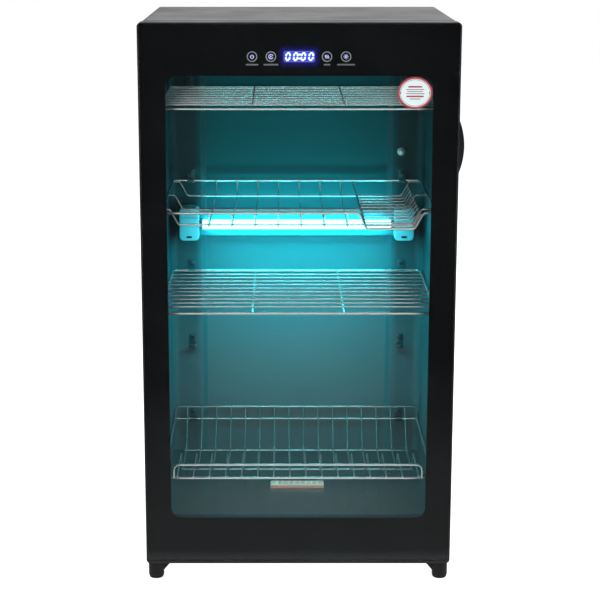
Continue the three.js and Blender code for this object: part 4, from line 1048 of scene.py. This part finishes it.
def gusset_mesh(side, x, depth, top):
    """Web between a front foot and the strap above it."""
    height = 13.0
    thick = 4.0
    edge = x - side * FOOT_RADIUS
    inner = x - side * FOOT_RADIUS / 2
    web = rounded([(inner, top), (edge - side * 11.0, top), (edge, top - height), (inner, top - height)],
                  [0.0, 0.6, 1.5, 0.0], 4)
    return plate([web], depth - thick / 2, depth + thick / 2, 0.6, "rubber")


def strap_mesh(node):
    """Flat strap under the case that carries a front foot forward under the door."""
    low, high = limits(node)
    return plate([rect(low[0], high[0], low[1], high[1], 6.0, 8)], low[2], CASE_LOW, 0.35, "strap_black", "z")


def make_feet():
    """Two feet on straps below the door and two at the back."""
    strap_low = limits("foot_plate_right")[0][2]
    front = 17.0
    for hand, side in SIDES.items():
        x = side * (DOOR_HALF - 13.3)
        foot = foot_mesh(x, front, strap_low)
        joined("foot_cup_front_" + hand, [foot, gusset_mesh(side, x, front, strap_low)], "cabinet",
               ["foot_front_" + hand])
        rear = foot_mesh(side * (DOOR_HALF - 30.0), 345.0, CASE_LOW)
        joined("foot_cup_rear_" + hand, [rear], "cabinet", ["foot_rear_" + hand])


def make_straps():
    """Both straps; the left one carries the lower hinge's pin."""
    top = limits("hinge_plate_lower")[1][2]
    pin_radius = 3.5
    profile = [(0.0, 24.6), (pin_radius, 24.6), (pin_radius, top - 0.8), (pin_radius - 0.6, top), (0.0, top)]
    pin = lathe(profile, (HINGE_X, HINGE_DEPTH, 0.0), steps=28, finish_name="zinc")
    left = strap_mesh("hinge_plate_lower")
    right = strap_mesh("foot_plate_right")
    joined("lower_hinge_strap", [left, pin], "cabinet", ["hinge_plate_lower"])
    joined("right_foot_strap", [right], "cabinet", ["foot_plate_right"])


def make_upper_hinge():
    """The upper arm, screwed to the face frame."""
    arm = eased(copy_of("hinge_bracket_upper", "zinc"), 0.25, 2, "zinc")
    front = CASE_FRONT - 2.1
    spots = [(x, front, CASE_TOP - 12.2) for x in (-202.0, -186.0)]
    heads = screws(spots, 2.8, 1.1, FACING_FRONT, "zinc")
    joined("upper_hinge_arm", [arm, heads], "cabinet", ["hinge_bracket_upper"], False)


# Liner


def liner_loop():
    """Plan section of the bent liner with its raised field at the back."""

    def half(more):
        side = LINER_HALF + more
        back = LINER_BACK + more
        return [(side, LINER_FRONT), (side, back), (FIELD_FOOT, back), (FIELD_HALF, back - FIELD_RISE)]

    def bends(corner):
        radii = [0.0, corner, 5.0, 5.0]
        return radii + radii[::-1]

    inside = half(0.0)
    outside = half(LINER_SHEET)
    outer = outside + [(-x, depth) for x, depth in reversed(outside)]
    inner = [(-x, depth) for x, depth in inside] + inside[::-1]
    corner = 15.0
    return rounded(outer + inner, bends(corner) + bends(corner - LINER_SHEET), 10)


def seat_below(level):
    """Height of the face that a rail at a level rests on."""
    return level - RAIL - FIT


def make_liner():
    """The liner's walls, with a pressed ledge on each side for the front end of every rack."""
    parts = [plate([liner_loop()], LINER_LOW + FIT, LINER_TOP, 0.2, "liner", "z", 1)]
    reach = 8.5
    drop = 11.0
    ledge_front = 62.0
    ledge_back = 86.0
    for level in LEVELS.values():
        seat = seat_below(level)
        for side in SIDES.values():
            wall = side * (LINER_HALF + LINER_SHEET / 2)
            corners = [(wall, seat), (side * (LINER_HALF - reach), seat), (side * LINER_HALF, seat - drop),
                       (wall, seat - drop)]
            web = rounded(corners, [0.0, 1.6, 1.5, 0.0], 5)
            parts.append(plate([web], ledge_front, ledge_back, 1.4, "liner", edge_steps=3))
    joined("liner_walls", parts, "cabinet", ["liner_wrap"])


def hook_meshes(side, level):
    """Bent strip that carries a rack's back rail, held by one screw."""
    seat = seat_below(level)
    back = LINER_BACK - FIT
    face = back - HOOK_SHEET
    lip = back - 13.7
    top = seat + 19.0
    profile = [(back, seat - HOOK_SHEET), (back, top), (face, top), (face, seat), (lip + HOOK_SHEET, seat),
               (lip + HOOK_SHEET, seat + 4.0), (lip, seat + 4.0), (lip, seat - HOOK_SHEET)]
    x = side * (LINER_HALF - 36.0)
    half = 6.0
    strip = plate([rounded(profile, [2.0, 0.5, 0.5, 0.6, 0.6, 0.5, 0.5, 2.0], 5)], x - half, x + half, 0.25,
                  "hook_steel", "x")
    head = screws([(x, face, seat + 13.0)], 4.0, 2.0, FACING_FRONT, "hook_steel")
    return [strip, head]


def make_hooks():
    """A pair of hooks for each rack and one spare pair."""
    for name, level in LEVELS.items():
        for hand, side in SIDES.items():
            joined(f"rack_hook_{name}_{hand}", hook_meshes(side, level), "cabinet",
                   [f"hook_{name}_{hand}"], False)


def make_probe():
    """Domed cover of the temperature probe, with a thin flange."""
    middle = middle_of("temperature_probe")
    profile = [(0.0, 0.0), (6.5, 0.0), (6.5, -1.5), (6.1, -2.0), (5.2, -2.1)]
    profile += [(5.0 * math.cos(angle), -2.2 - 4.8 * math.sin(angle))
                for angle in (math.radians(step) for step in (0, 12, 25, 38, 51, 64, 77))]
    profile.append((0.0, -7.0))
    dome = lathe(profile, (middle[0], LINER_BACK - FIT, middle[2]), "y", 32, "probe_steel")
    joined("probe_cover", [dome], "cabinet", ["temperature_probe"])


# Lamp


def mirrored(profile):
    return [(radius, -along) for radius, along in profile]


def make_tube():
    """Glass tube with domed ends, and a grooved metal cap at each end."""
    cap = 9.0
    dome = [(TUBE_RADIUS * math.sin(turn), cap - TUBE_HALF + 3.0 * (1 - math.cos(turn)))
            for turn in (math.radians(angle) for angle in (0, 30, 60, 90))]
    rings = [(TUBE_RADIUS, along) for along in (-120.0, -60.0, 0.0, 60.0, 120.0)]
    centre = (0.0, LAMP_DEPTH, LAMP_Z)
    tube = lathe(dome + rings + mirrored(dome[::-1]), centre, "x", 40, "tube")
    joined("lit_tube_glass", [tube], "cabinet", ["uv_tube"])
    left = [(0.0, 0.0), (7.6, 0.0), (TUBE_RADIUS, 0.4), (TUBE_RADIUS, 8.2), (7.7, 8.8), (7.7, 9.4),
            (TUBE_RADIUS, 9.8), (TUBE_RADIUS, 11.4), (7.6, 11.8), (0.0, 11.8)]
    caps = [lathe(profile, (side * TUBE_HALF, LAMP_DEPTH, LAMP_Z), "x", 40, "end_cap")
            for side, profile in ((-1, left), (1, mirrored(left)))]
    joined("tube_end_caps", caps, "cabinet", ())


def make_tube_holder(side, hand):
    """Moulded housing with the tube's socket; on its front, a dark patch of painted shade stands for a pry
    slot, and a dark line marks a seam.
    """
    (left, front, low), (right, back, high) = limits("lamp_holder_" + hand)
    shell = plate([rect(left, right, low, high, 7.0, 8)], front, back, 2.2, "lamp_plastic", edge_steps=4)
    inner = side * min(abs(left), abs(right))
    bore = rod(TUBE_RADIUS + FIT, -5.0, 5.0, (inner + side, LAMP_DEPTH, LAMP_Z), "x", 40)
    shell = carved(shell, [bore], "lamp_plastic")
    x = (left + right) / 2
    # Painted shade: the pry slot is a dark patch on the front, not a hole.
    slot_shade_loop = rect(x - 4.5, x + 4.5, LAMP_Z - 21.0, LAMP_Z - 17.4, 1.2, 4)
    slot = plate([slot_shade_loop], front - FIT, front + 0.4, 0.1, "dark_slot")
    seam_loop = rect(left + 2.0, right - 2.0, LAMP_Z + 12.0, LAMP_Z + 12.6, 0.25, 2)
    seam = plate([seam_loop], front - 0.2, front + FIT, 0.05, "dark_slot")
    joined("tube_holder_" + hand, [shell, slot, seam], "cabinet", ["lamp_holder_" + hand],
           False)


# Racks


def rail(height, corner):
    """Closed outer wire of a flat rack."""
    corners = rect(-RAIL_HALF, RAIL_HALF, RACK_FRONT, RACK_BACK)
    return wires([(x, depth, height) for x, depth in corners], RAIL, corner, closed=True, sides=14)


def make_shelf(name, node):
    """Flat shelf: two bars under a row of wires that lie on the rail."""
    rail_z = LEVELS[node]
    wire_z = rail_z + RAIL + WIRE - WELD
    bar_z = wire_z - WIRE - BAR + WELD
    bar_x = 67.0
    count = 11
    first = RACK_FRONT + 32.0
    step = (0.0, (RACK_BACK - RACK_FRONT - 50.0) / (count - 1), 0.0)
    parts = [rail(rail_z, 9.0)]
    for x in (-bar_x, bar_x):
        parts.append(wires([(x, RACK_FRONT, bar_z), (x, RACK_BACK, bar_z)], BAR))
    across = [(-RAIL_HALF, first, wire_z), (RAIL_HALF, first, wire_z)]
    parts.append(wires(across, WIRE, copies=count, step=step))
    spots = [(x, first, wire_z - WIRE / 2) for x in (-RAIL_HALF, -bar_x, bar_x, RAIL_HALF)]
    parts.append(beads(spots, 1.65, count, step))
    joined(name, parts, node, [node], False)


def make_bowl_basket():
    """Basket with a trough for bowls, a sloping wing on each side and a bay of close wires for cups."""
    top = LEVELS["bowl_basket"]
    low = top - 23.0
    wire_z = low + BAR + WIRE - WELD
    half = 200.0
    wing = 181.0
    trough = 168.0
    bay = 98.0
    divider = 88.0
    front, centre, back = 80.0, 203.0, 330.0
    bend = 195.6
    outline = [(-half, bend, top), (-half, RACK_BACK, top), (half, RACK_BACK, top), (half, bend, top)]
    outline += [(x, RACK_FRONT, z) for x, z in ((half, top), (wing, top), (trough, low), (bay, low),
                                                (divider, top), (-half, top))]
    parts = [wires(outline, RAIL, closed=True, sides=14)]
    section = ((-half, top), (-188.0, top), (-176.0, low), (trough, low), (wing, top), (half, top))
    for depth in (front, centre, back):
        parts.append(wires([(x, depth, z) for x, z in section], BAR))

    left = -130.0
    pitch = ((divider - left) / 6.5, 0.0, 0.0)
    count = 7
    inside = RAIL + WIRE - WELD
    ends = (RACK_FRONT + inside, RACK_BACK - inside)
    parts.append(wires([(left, ends[0], top), (left, ends[0], wire_z), (left, ends[1], wire_z),
                        (left, ends[1], top)], WIRE, copies=count, step=pitch))
    spots = [(left, ends[0] - 0.7, top), (left, ends[1] + 0.7, top)]
    spots += [(left, depth, wire_z - 0.8) for depth in (front, centre, back)]
    parts.append(beads(spots, 1.6, count, pitch))

    wing_bar = 178.4
    wing_z = 540.6
    parts.append(wires([(bay, RACK_FRONT, low), (bay, back, low)], BAR))
    parts.append(wires([(wing_bar, 69.0, wing_z), (wing_bar, back, wing_z)], BAR))
    first = 62.0
    count = 11
    pitch = (0.0, 25.6, 0.0)
    close = [(bay, first, wire_z), (trough, first, wire_z), (wing_bar - 1.0, first, wing_z + 1.7)]
    parts.append(wires(close, WIRE, 3.0, count, pitch))
    spots = [(bay, first, wire_z - 0.7), (wing_bar - 0.8, first, wing_z + 1.0)]
    parts.append(beads(spots, 1.5, count, pitch))
    parts.append(wires([(divider + 1.0, RACK_BACK, top), (bay, front, low + BAR)], BAR))
    joined("bowl_basket_wires", parts, "bowl_basket", ["bowl_basket"], False)


def make_plate_basket():
    """Basket with a low well in which plates stand on edge, and a raised rail at each end."""
    rail_z = LEVELS["plate_basket"]
    upper = rail_z + 21.0
    well = rail_z - 35.0
    wire_z = rail_z + RAIL + WIRE - WELD
    bar_z = well - WIRE - BAR + WELD
    parts = [rail(rail_z, 6.0)]
    for depth, end in ((RACK_FRONT, 186.0), (RACK_BACK, 201.0)):
        raised = [(-end, depth, rail_z), (-end, depth, upper), (end, depth, upper), (end, depth, rail_z)]
        parts.append(wires(raised, RAIL, 9.0, sides=14))
    half = 180.8
    count = 16
    step = (2 * half / (count - 1), 0.0, 0.0)
    route = ((RACK_FRONT, wire_z), (155.0, wire_z), (187.0, well), (290.0, well), (334.0, 155.0),
             (340.9, upper))
    parts.append(wires([(-half, depth, z) for depth, z in route], WIRE, copies=count, step=step))
    bars = (193.0, 287.0)
    spots = [(-half, RACK_FRONT, wire_z - 0.4), (-half, 341.2, upper)]
    spots += [(-half, depth, well - 1.0) for depth in bars]
    parts.append(beads(spots, 2.0, count, step))
    for depth in bars:
        parts.append(wires([(-half - 3.0, depth, bar_z), (half + 3.0, depth, bar_z)], BAR))
    joined("plate_basket_wires", parts, "plate_basket", ["plate_basket"], False)


# Heater outlet


def make_heater():
    """The moulded outlet with four slats across its mouth."""
    parts = [copy_of("heater_housing", "cream")]
    slat = rect(-39.5, 39.5, 90.6, 91.9, 0.3, 3)
    first = 167.9
    pitch = 4.1
    thick = 1.5
    for index in range(4):
        depth = first + index * pitch
        parts.append(plate([slat], depth, depth + thick, 0.35, "cream"))
    joined("heater_outlet", parts, "cabinet", ["heater_housing"])


# Door


def room_for(node, front, back, inset=0.0, edge=0.05):
    """A tool as wide and high as a node and its fit, or smaller by an inset all round."""
    low, high = limits(node)
    less = inset - FIT
    return block(low[0] + less, high[0] - less, front, back, low[2] + less, high[2] - less, edge)


def make_door_frame():
    """Frame round the pane, with the pockets of the touch board, hinges, handle and magnet."""
    beyond = DOOR_BACK + 8.0
    past_side = DOOR_HALF + 5.0
    outer = rect(-DOOR_HALF, DOOR_HALF, DOOR_LOW, DOOR_TOP, CASE_CORNER, 12)
    pocket = rect(-PANE_HALF - FIT, PANE_HALF + FIT, PANE_LOW - FIT, PANE_TOP + FIT, PANE_CORNER + FIT, 12)
    rim = plate([outer, pocket], 0.0, 8.0, 0.5, "door_black")
    margin = 4.0
    sill = LINER_LOW - 2.0
    opening = rect(-WINDOW_HALF - margin, WINDOW_HALF + margin, sill, WINDOW_TOP + margin, WINDOW_CORNER, 14)
    body = plate([outer, opening], PANE_BACK + 1.2, DOOR_BACK, 0.8, "door_black", edge_steps=3)

    board_back = limits("touch_board")[1][1] + FIT
    magnet_front = limits("door_magnet")[0][1] - FIT
    notch_low = limits("hinge_bush_upper")[1][2]
    notch_top = limits("hinge_bracket_upper")[1][2] + 0.8
    tools = [
        room_for("touch_board", PANE_BACK, board_back, edge=0.0),
        room_for("touch_board", PANE_BACK, board_back + 9.0, 5.0, 0.0),
        block(-past_side, HINGE_X + 5.8, HINGE_DEPTH - 9.2, beyond, notch_low, notch_top),
        block(TONGUE_LEFT - FIT, past_side, TONGUE_FRONT - FIT, TONGUE_BACK + FIT, TONGUE_LOW - FIT,
              TONGUE_TOP + FIT),
        room_for("door_magnet", magnet_front, beyond)]
    socket = 5.9
    lower_top = limits("hinge_bush_lower")[1][2] + FIT
    upper_low = limits("hinge_bush_upper")[0][2] - FIT
    for low, high in ((DOOR_LOW - 7.0, lower_top), (upper_low, notch_low + 0.8)):
        tools.append(rod(socket, low, high, (HINGE_X, HINGE_DEPTH, 0.0)))
    joined("door_surround", [rim, carved(body, tools, "door_black")], "door", ["door_frame"])


def make_door_glass():
    """The clear pane and, behind it, the print with its window and the clock's cut-out."""
    pane = rect(-PANE_HALF, PANE_HALF, PANE_LOW, PANE_TOP, PANE_CORNER, 12)
    glass = plate([pane], 0.0, PANE_BACK, 0.5, "glass")
    joined("door_pane", [glass], "door", ["door_glass"])
    window = rect(-WINDOW_HALF, WINDOW_HALF, WINDOW_LOW, WINDOW_TOP, WINDOW_CORNER, 16)
    clock = rect(-CLOCK_HALF, CLOCK_HALF, PANEL_Z - CLOCK_HALF_HEIGHT, PANEL_Z + CLOCK_HALF_HEIGHT, 2.5, 8)
    front = PANE_BACK + FIT
    ink = plate([pane, window, clock], front, front + 0.6, 0.05, "print_black", edge_steps=1)
    joined("door_ink", [ink], "door", ["door_print"])


def seal_ring(width, start, end, edge, steps):
    """One band of the seal's section, on the middle of the seal's width."""
    whole = 9.0
    more = 9.3 - (whole - width) / 2
    less = more - width
    loops = [rect(-LINER_HALF - out, LINER_HALF + out, LINER_LOW - out, LINER_TOP + out, corner, 10)
             for out, corner in ((more, 8.0), (less, max(8.0 - width, 2.0)))]
    return plate(loops, start, end, edge, "rubber", edge_steps=steps)


def make_door_seal():
    """Soft seal: a dart in the door's groove, a foot and a rounded bellows."""
    parts = [seal_ring(2.4, 28.2, 33.8, 0.3, 1), seal_ring(9.0, 32.3, 33.8, 0.5, 2),
             seal_ring(6.5, 33.05, 36.7, 1.6, 4)]
    joined("door_gasket", parts, "door", ["door_seal"])


def make_handle():
    """Arc-shaped grip, scooped out behind for the fingers, with a tongue in the door's edge."""
    chord = 37.5
    bulge = 7.1
    radius = (chord ** 2 + bulge ** 2) / (2 * bulge)
    sweep = math.asin(chord / radius)
    middle = (TONGUE_LOW + TONGUE_TOP) / 2
    crest = DOOR_HALF + 7.4
    turns = [sweep * (step / 14 - 1) for step in range(29)]
    arc = [(crest - radius + radius * math.cos(turn), middle + radius * math.sin(turn)) for turn in turns]
    front = PANE_BACK + 1.0
    grip = plate([arc], front, front + 22.0, 0.0, "handle_black")
    past_end = chord + 7.5
    scoop = rod(9.0, -past_end, past_end, (crest, DOOR_BACK, middle), steps=40)
    grip = eased(carved(grip, [scoop], "handle_black"), 1.6, 4, "handle_black")
    tongue = block(TONGUE_LEFT, 228.7, TONGUE_FRONT, TONGUE_BACK, TONGUE_LOW, TONGUE_TOP, 0.5, "handle_black")
    joined("pull_grip", [grip, tongue], "door", ["door_handle"])


# Signs on the touch panel

SIGN_LAYER = (PANE_BACK + 0.08, PANE_BACK + 0.2)
FIGURE_LAYER = (PANE_BACK + 1.0, PANE_BACK + 1.1)
KEY_SPOTS = (-65.6, -39.4, 38.5, 65.0)


def film(loops, layer, finish_name, edge=0.02):
    """A thin flat mark between two depths."""
    return plate(loops, *layer, edge, finish_name, edge_steps=0)


def stroke(points, width, layer, finish_name, closed=False):
    """Flat ribbon along a path in X and Z."""
    path = [Vector(point) for point in points]
    left = []
    right = []
    last = len(path) - 1
    for index, here in enumerate(path):
        before = path[index - 1] if index or closed else here
        after = path[(index + 1) % len(path)] if index < last or closed else here
        along = (after - before).normalized()
        aside = Vector((-along.y, along.x)) * width / 2
        left.append(here + aside)
        right.append(here - aside)
    if closed:
        return film(sorted((left, right), key=lambda loop: -abs(area_of(loop))), layer, finish_name)
    return film([left + right[::-1]], layer, finish_name)


def nought_meshes(x, z):
    """Six bars of a nought that leans to the right."""
    thick = 2.4
    right = 3.7 - thick / 2
    top = 6.0 - thick / 2
    lean = 0.13
    gap = 0.35
    blunt = 0.8
    corners = [Vector((side * right, height))
               for side, height in ((-1, top), (1, top), (1, 0.0), (1, -top), (-1, -top), (-1, 0.0))]
    made = []
    for first, last in zip(corners, corners[1:] + corners[:1]):
        along = (last - first).normalized()
        aside = Vector((-along.y, along.x)) * thick / 2
        first = first + along * gap
        last = last - along * gap
        taper = along * thick / 2 * blunt
        loop = [first, first + taper + aside, last - taper + aside, last, last - taper - aside,
                first + taper - aside]
        loop = [Vector((x + point.x + point.y * lean, z + point.y)) for point in loop]
        made.append(film([loop], FIGURE_LAYER, "digit", 0.01))
    return made


def make_clock():
    """Four noughts with a colon, and a thin rim along the edge of the clock's window."""
    parts = []
    for x in (-15.7, -4.9, 5.6, 16.4):
        parts += nought_meshes(x, PANEL_Z)
    for lift in (-2.7, 2.7):
        dot = circle(0.35 + lift * 0.12, PANEL_Z + lift, 1.25, 16)
        parts.append(film([dot], FIGURE_LAYER, "digit", 0.01))
    joined("clock_figures", parts, "door", (), False)
    inset = 0.4
    half = CLOCK_HALF - inset
    half_height = CLOCK_HALF_HEIGHT - inset
    rim = rect(-half, half, PANEL_Z - half_height, PANEL_Z + half_height, 2.5 - inset, 6)
    layer = (PANE_BACK + 0.95, PANE_BACK + 1.05)
    joined("clock_rim", [stroke(rim, 0.7, layer, "clock_rim", True)], "door", (), False)


def arc_points(x, radius, start, end, drop=0.0):
    """Points of an arc about a key's centre, its angles in degrees."""
    turns = [math.radians(start + (end - start) * step / 16) for step in range(17)]
    return [(x + radius * math.cos(turn), PANEL_Z - drop + radius * math.sin(turn)) for turn in turns]


def sign(points, width=0.95, closed=False):
    return stroke(points, width, SIGN_LAYER, "key_sign", closed)


def power_sign(x):
    """Open ring with a bar in its gap."""
    return [sign(arc_points(x, 2.3, 125.0, 415.0, 0.2)), sign([(x, PANEL_Z + 0.2), (x, PANEL_Z + 3.0)])]


def programme_sign(x):
    """Open ring round a small pointer."""
    pointer = [(x - 1.0, PANEL_Z - 1.5), (x + 1.7, PANEL_Z), (x - 1.0, PANEL_Z + 1.5)]
    return [sign(arc_points(x, 3.0, 20.0, 340.0)), film([pointer], SIGN_LAYER, "key_sign")]


def warm_air_sign(x):
    """Three rising waves."""
    waves = []
    for offset in (-1.9, 0.0, 1.9):
        waves.append(sign([(x + offset + 0.6 * math.sin(step * math.pi / 4), PANEL_Z - 2.4 + step * 0.6)
                           for step in range(9)]))
    return waves


def lamp_sign(x):
    """Small ring with eight rays."""
    parts = [sign(circle(x, PANEL_Z, 1.3, 24), 1.1, True)]
    for step in range(8):
        ray = Vector((math.cos(math.tau * step / 8), math.sin(math.tau * step / 8)))
        centre = Vector((x, PANEL_Z))
        parts.append(sign([centre + ray * 2.5, centre + ray * 3.5], 0.8))
    return parts


def make_key_marks():
    """A ring, a sign and a short bar for each of the four touch keys."""
    rings = [stroke(circle(x, PANEL_Z, 6.6, 40), 1.1, SIGN_LAYER, "key_ring", True) for x in KEY_SPOTS]
    joined("key_rings", rings, "door", (), False)
    signs = []
    for x, make_sign in zip(KEY_SPOTS, (power_sign, programme_sign, warm_air_sign, lamp_sign)):
        signs += make_sign(x)
    joined("key_signs", signs, "door", (), False)
    low = PANEL_Z - 12.1
    bars = [film([rect(x - width / 2, x + width / 2, low, low + 2.0, 0.8, 3)], SIGN_LAYER, "key_bar")
            for x, width in zip(KEY_SPOTS, (17.5, 20.5, 9.0, 25.0))]
    joined("key_bars", bars, "door", (), False)


def make_label():
    """Plain oval film label behind the glass: a red rim, a thin dark line and a few ruled bars."""
    x = 161.7
    z = 725.4
    film_layer = (PANE_BACK + 0.14, PANE_BACK + 0.24)
    ink_layer = (PANE_BACK + 0.08, PANE_BACK + 0.13)
    upper_layer = (PANE_BACK + 0.05, PANE_BACK + 0.12)
    thin = 0.005

    def ring(inset):
        return oval(x, z, 24.4 - inset, 22.3 - inset, 64)

    parts = [film([ring(0.0)], film_layer, "label_white"),
             film([ring(0.0), ring(2.8)], ink_layer, "label_red", 0.01),
             film([ring(3.8), ring(4.3)], ink_layer, "label_dark", thin)]
    half = 1.3
    for side in SIDES.values():
        point = x + side * 20.3
        diamond = [(point - half, z), (point, z - half), (point + half, z), (point, z + half)]
        parts.append(film([diamond], upper_layer, "label_dark", thin))
    bars = ((8.6, 9.5, "label_red"), (4.8, 12.5, "label_pale"), (1.9, 11.0, "label_pale"),
            (-1.0, 13.0, "label_pale"), (-4.8, 12.0, "label_red"), (-8.4, 7.5, "label_pale"))
    for offset, half_width, ink in bars:
        half = 1.1 if ink == "label_red" else 0.65
        bar = rect(x - half_width, x + half_width, z + offset - half, z + offset + half, 0.4, 2)
        parts.append(film([bar], ink_layer, ink, thin))
    joined("door_label", parts, "door", (), False)


make_case()
make_back_cover()
make_side_screws()
make_feet()
make_straps()
make_upper_hinge()
make_liner()
make_hooks()
make_probe()
make_tube()
for hand, side in SIDES.items():
    make_tube_holder(side, hand)
make_shelf("top_shelf_wires", "shelf_top")
make_shelf("middle_shelf_wires", "shelf_middle")
make_bowl_basket()
make_plate_basket()
make_heater()
make_door_frame()
make_door_glass()
make_door_seal()
make_handle()
make_clock()
make_key_marks()
make_label()


# Finishes of the nodes that keep their own shape

CARRIED = {
    "base_pan": "zinc",
    "cord_inlet": "rubber",
    "liner_ceiling": "liner",
    "liner_floor": "liner_floor",
    "lamp_channel": "liner",
    "heater_core": "fin",
    "fan_frame": "fan_black",
    "fan_rotor": "fan_black",
    "power_board": "board",
    "lamp_ballast": "lamp_plastic",
    "reed_switch": "lamp_plastic",
    "hinge_bush_lower": "nylon",
    "hinge_bush_upper": "nylon",
    "display_module": "display",
    "touch_board": "board",
    "door_magnet": "magnet",
}
for node, finish_name in CARRIED.items():
    dress(nodes[node].data, FINISH[finish_name])


# Floor, lights and surroundings

WHITE = (1.0, 1.0, 1.0, 1.0)


def mirrored_outside(tree):
    """One for a ray that an outer face or the door's pane has mirrored."""
    path = tree.nodes.new("ShaderNodeLightPath").outputs
    bounced = figure(tree, "GREATER_THAN", path["Glossy Depth"], 0.5)
    shallow = figure(tree, "LESS_THAN", path["Transmission Depth"], 2.5)
    return times(tree, bounced, shallow)


def make_floor():
    """White paper; in front of the door it looks dark, but only in what the outer faces mirror."""
    mesh = bpy.data.meshes.new("studio_floor")
    far = 8.0
    mesh.from_pydata([(-far, -far, 0), (far, -far, 0), (far, far, 0), (-far, far, 0)], [], [(0, 1, 2, 3)])
    material, tree, shader = bare_material("studio_paper", (0.93, 0.93, 0.93), 0.9)
    light_up(tree, WHITE, 0.88)
    parts = parts_of(tree, object_spot(tree))
    ahead = span(tree, parts["Y"], -0.12, -0.3)
    within = span(tree, figure(tree, "ABSOLUTE", parts["X"]), 1.0, 1.7, 1.0, 0.0)
    near = span(tree, parts["Y"], -0.25, -1.4, 0.2, 0.03)
    dim = put(tree, "ShaderNodeEmission", Color=WHITE, Strength=near)
    share = times(tree, mirrored_outside(tree), times(tree, ahead, within))
    mixed = mix_shaders(tree, share, shader, dim)
    feed(tree, tree.nodes["Material Output"], "Surface", mixed.outputs[0])
    dress(mesh, material)
    shown(mesh, "studio_floor")


def make_lamp_box(name, location, aim, width, height, power, color=(1.0, 1.0, 1.0), in_mirrors=True):
    """A rectangular lamp that no camera sees; sizes and places are in metres, its power in watts."""
    data = bpy.data.lights.new(name, "AREA")
    data.shape = "RECTANGLE"
    data.size = width
    data.size_y = height
    data.energy = power
    data.color = color
    light = bpy.data.objects.new(name, data)
    light.visible_camera = False
    light.visible_glossy = in_mirrors
    light.location = location
    light.rotation_euler = (Vector(aim) - Vector(location)).to_track_quat("-Z", "Y").to_euler()
    bpy.context.scene.collection.objects.link(light)


def make_studio_lights():
    """Soft lamps above, before, beside and behind the cabinet."""
    make_lamp_box("soft_top", (0.3, -0.6, 3.2), (0.0, 0.0, 0.4), 2.0, 2.0, 26.0)
    make_lamp_box("soft_front", (0.0, -3.4, 1.9), (0.0, 0.0, 0.4), 2.4, 0.8, 16.0)
    make_lamp_box("soft_left", (-2.6, -0.9, 1.3), (0.0, 0.0, 0.45), 1.0, 1.8, 12.0)
    make_lamp_box("soft_right", (2.6, -0.7, 1.2), (0.0, 0.0, 0.45), 1.0, 1.8, 12.0)
    make_lamp_box("soft_back", (0.4, 3.0, 1.9), (0.0, 0.0, 0.5), 2.0, 1.4, 12.0)
    make_lamp_box("soft_back_left", (-2.2, 2.2, 1.0), (0.0, 0.0, 0.45), 1.2, 1.6, 16.0)
    make_lamp_box("soft_back_right", (2.2, 2.2, 1.0), (0.0, 0.0, 0.45), 1.2, 1.6, 16.0)


def make_inner_lights():
    """The tube's wash down the liner's back, and a little warm light on the heater and the floor."""
    before_tube = place(0.0, 200.0, LAMP_Z - 6.0)
    below_tube = place(0.0, 352.0, LAMP_Z - 230.0)
    make_lamp_box("tube_wash", before_tube, below_tube, 0.26, 0.09, 1.5, (0.0, 0.74, 0.92), False)
    low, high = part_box("heater_housing")
    heater = (low + high) / 2
    above = heater + Vector((0.0, -0.1, 0.13))
    make_lamp_box("heater_fill", above, heater, 0.26, 0.05, 0.09, (1.0, 0.3, 0.2), False)


def make_world():
    """White to the camera, dim all round, and darker in what the outer faces mirror."""
    world = bpy.data.worlds.new("studio")
    world.use_nodes = True
    tree = world.node_tree
    tree.nodes.clear()
    seen = put(tree, "ShaderNodeBackground", Color=WHITE, Strength=1.0)
    around = put(tree, "ShaderNodeBackground", Color=(0.95, 0.98, 1.0, 1.0), Strength=0.22)
    dark = put(tree, "ShaderNodeBackground", Color=WHITE, Strength=0.03)
    camera_ray = tree.nodes.new("ShaderNodeLightPath").outputs["Is Camera Ray"]
    lit = mix_shaders(tree, mirrored_outside(tree), around, dark)
    put(tree, "ShaderNodeOutputWorld", Surface=mix_shaders(tree, camera_ray, lit, seen).outputs[0])
    bpy.context.scene.world = world


make_floor()
make_studio_lights()
make_inner_lights()
make_world()
bpy.context.scene.view_settings.view_transform = "Standard"
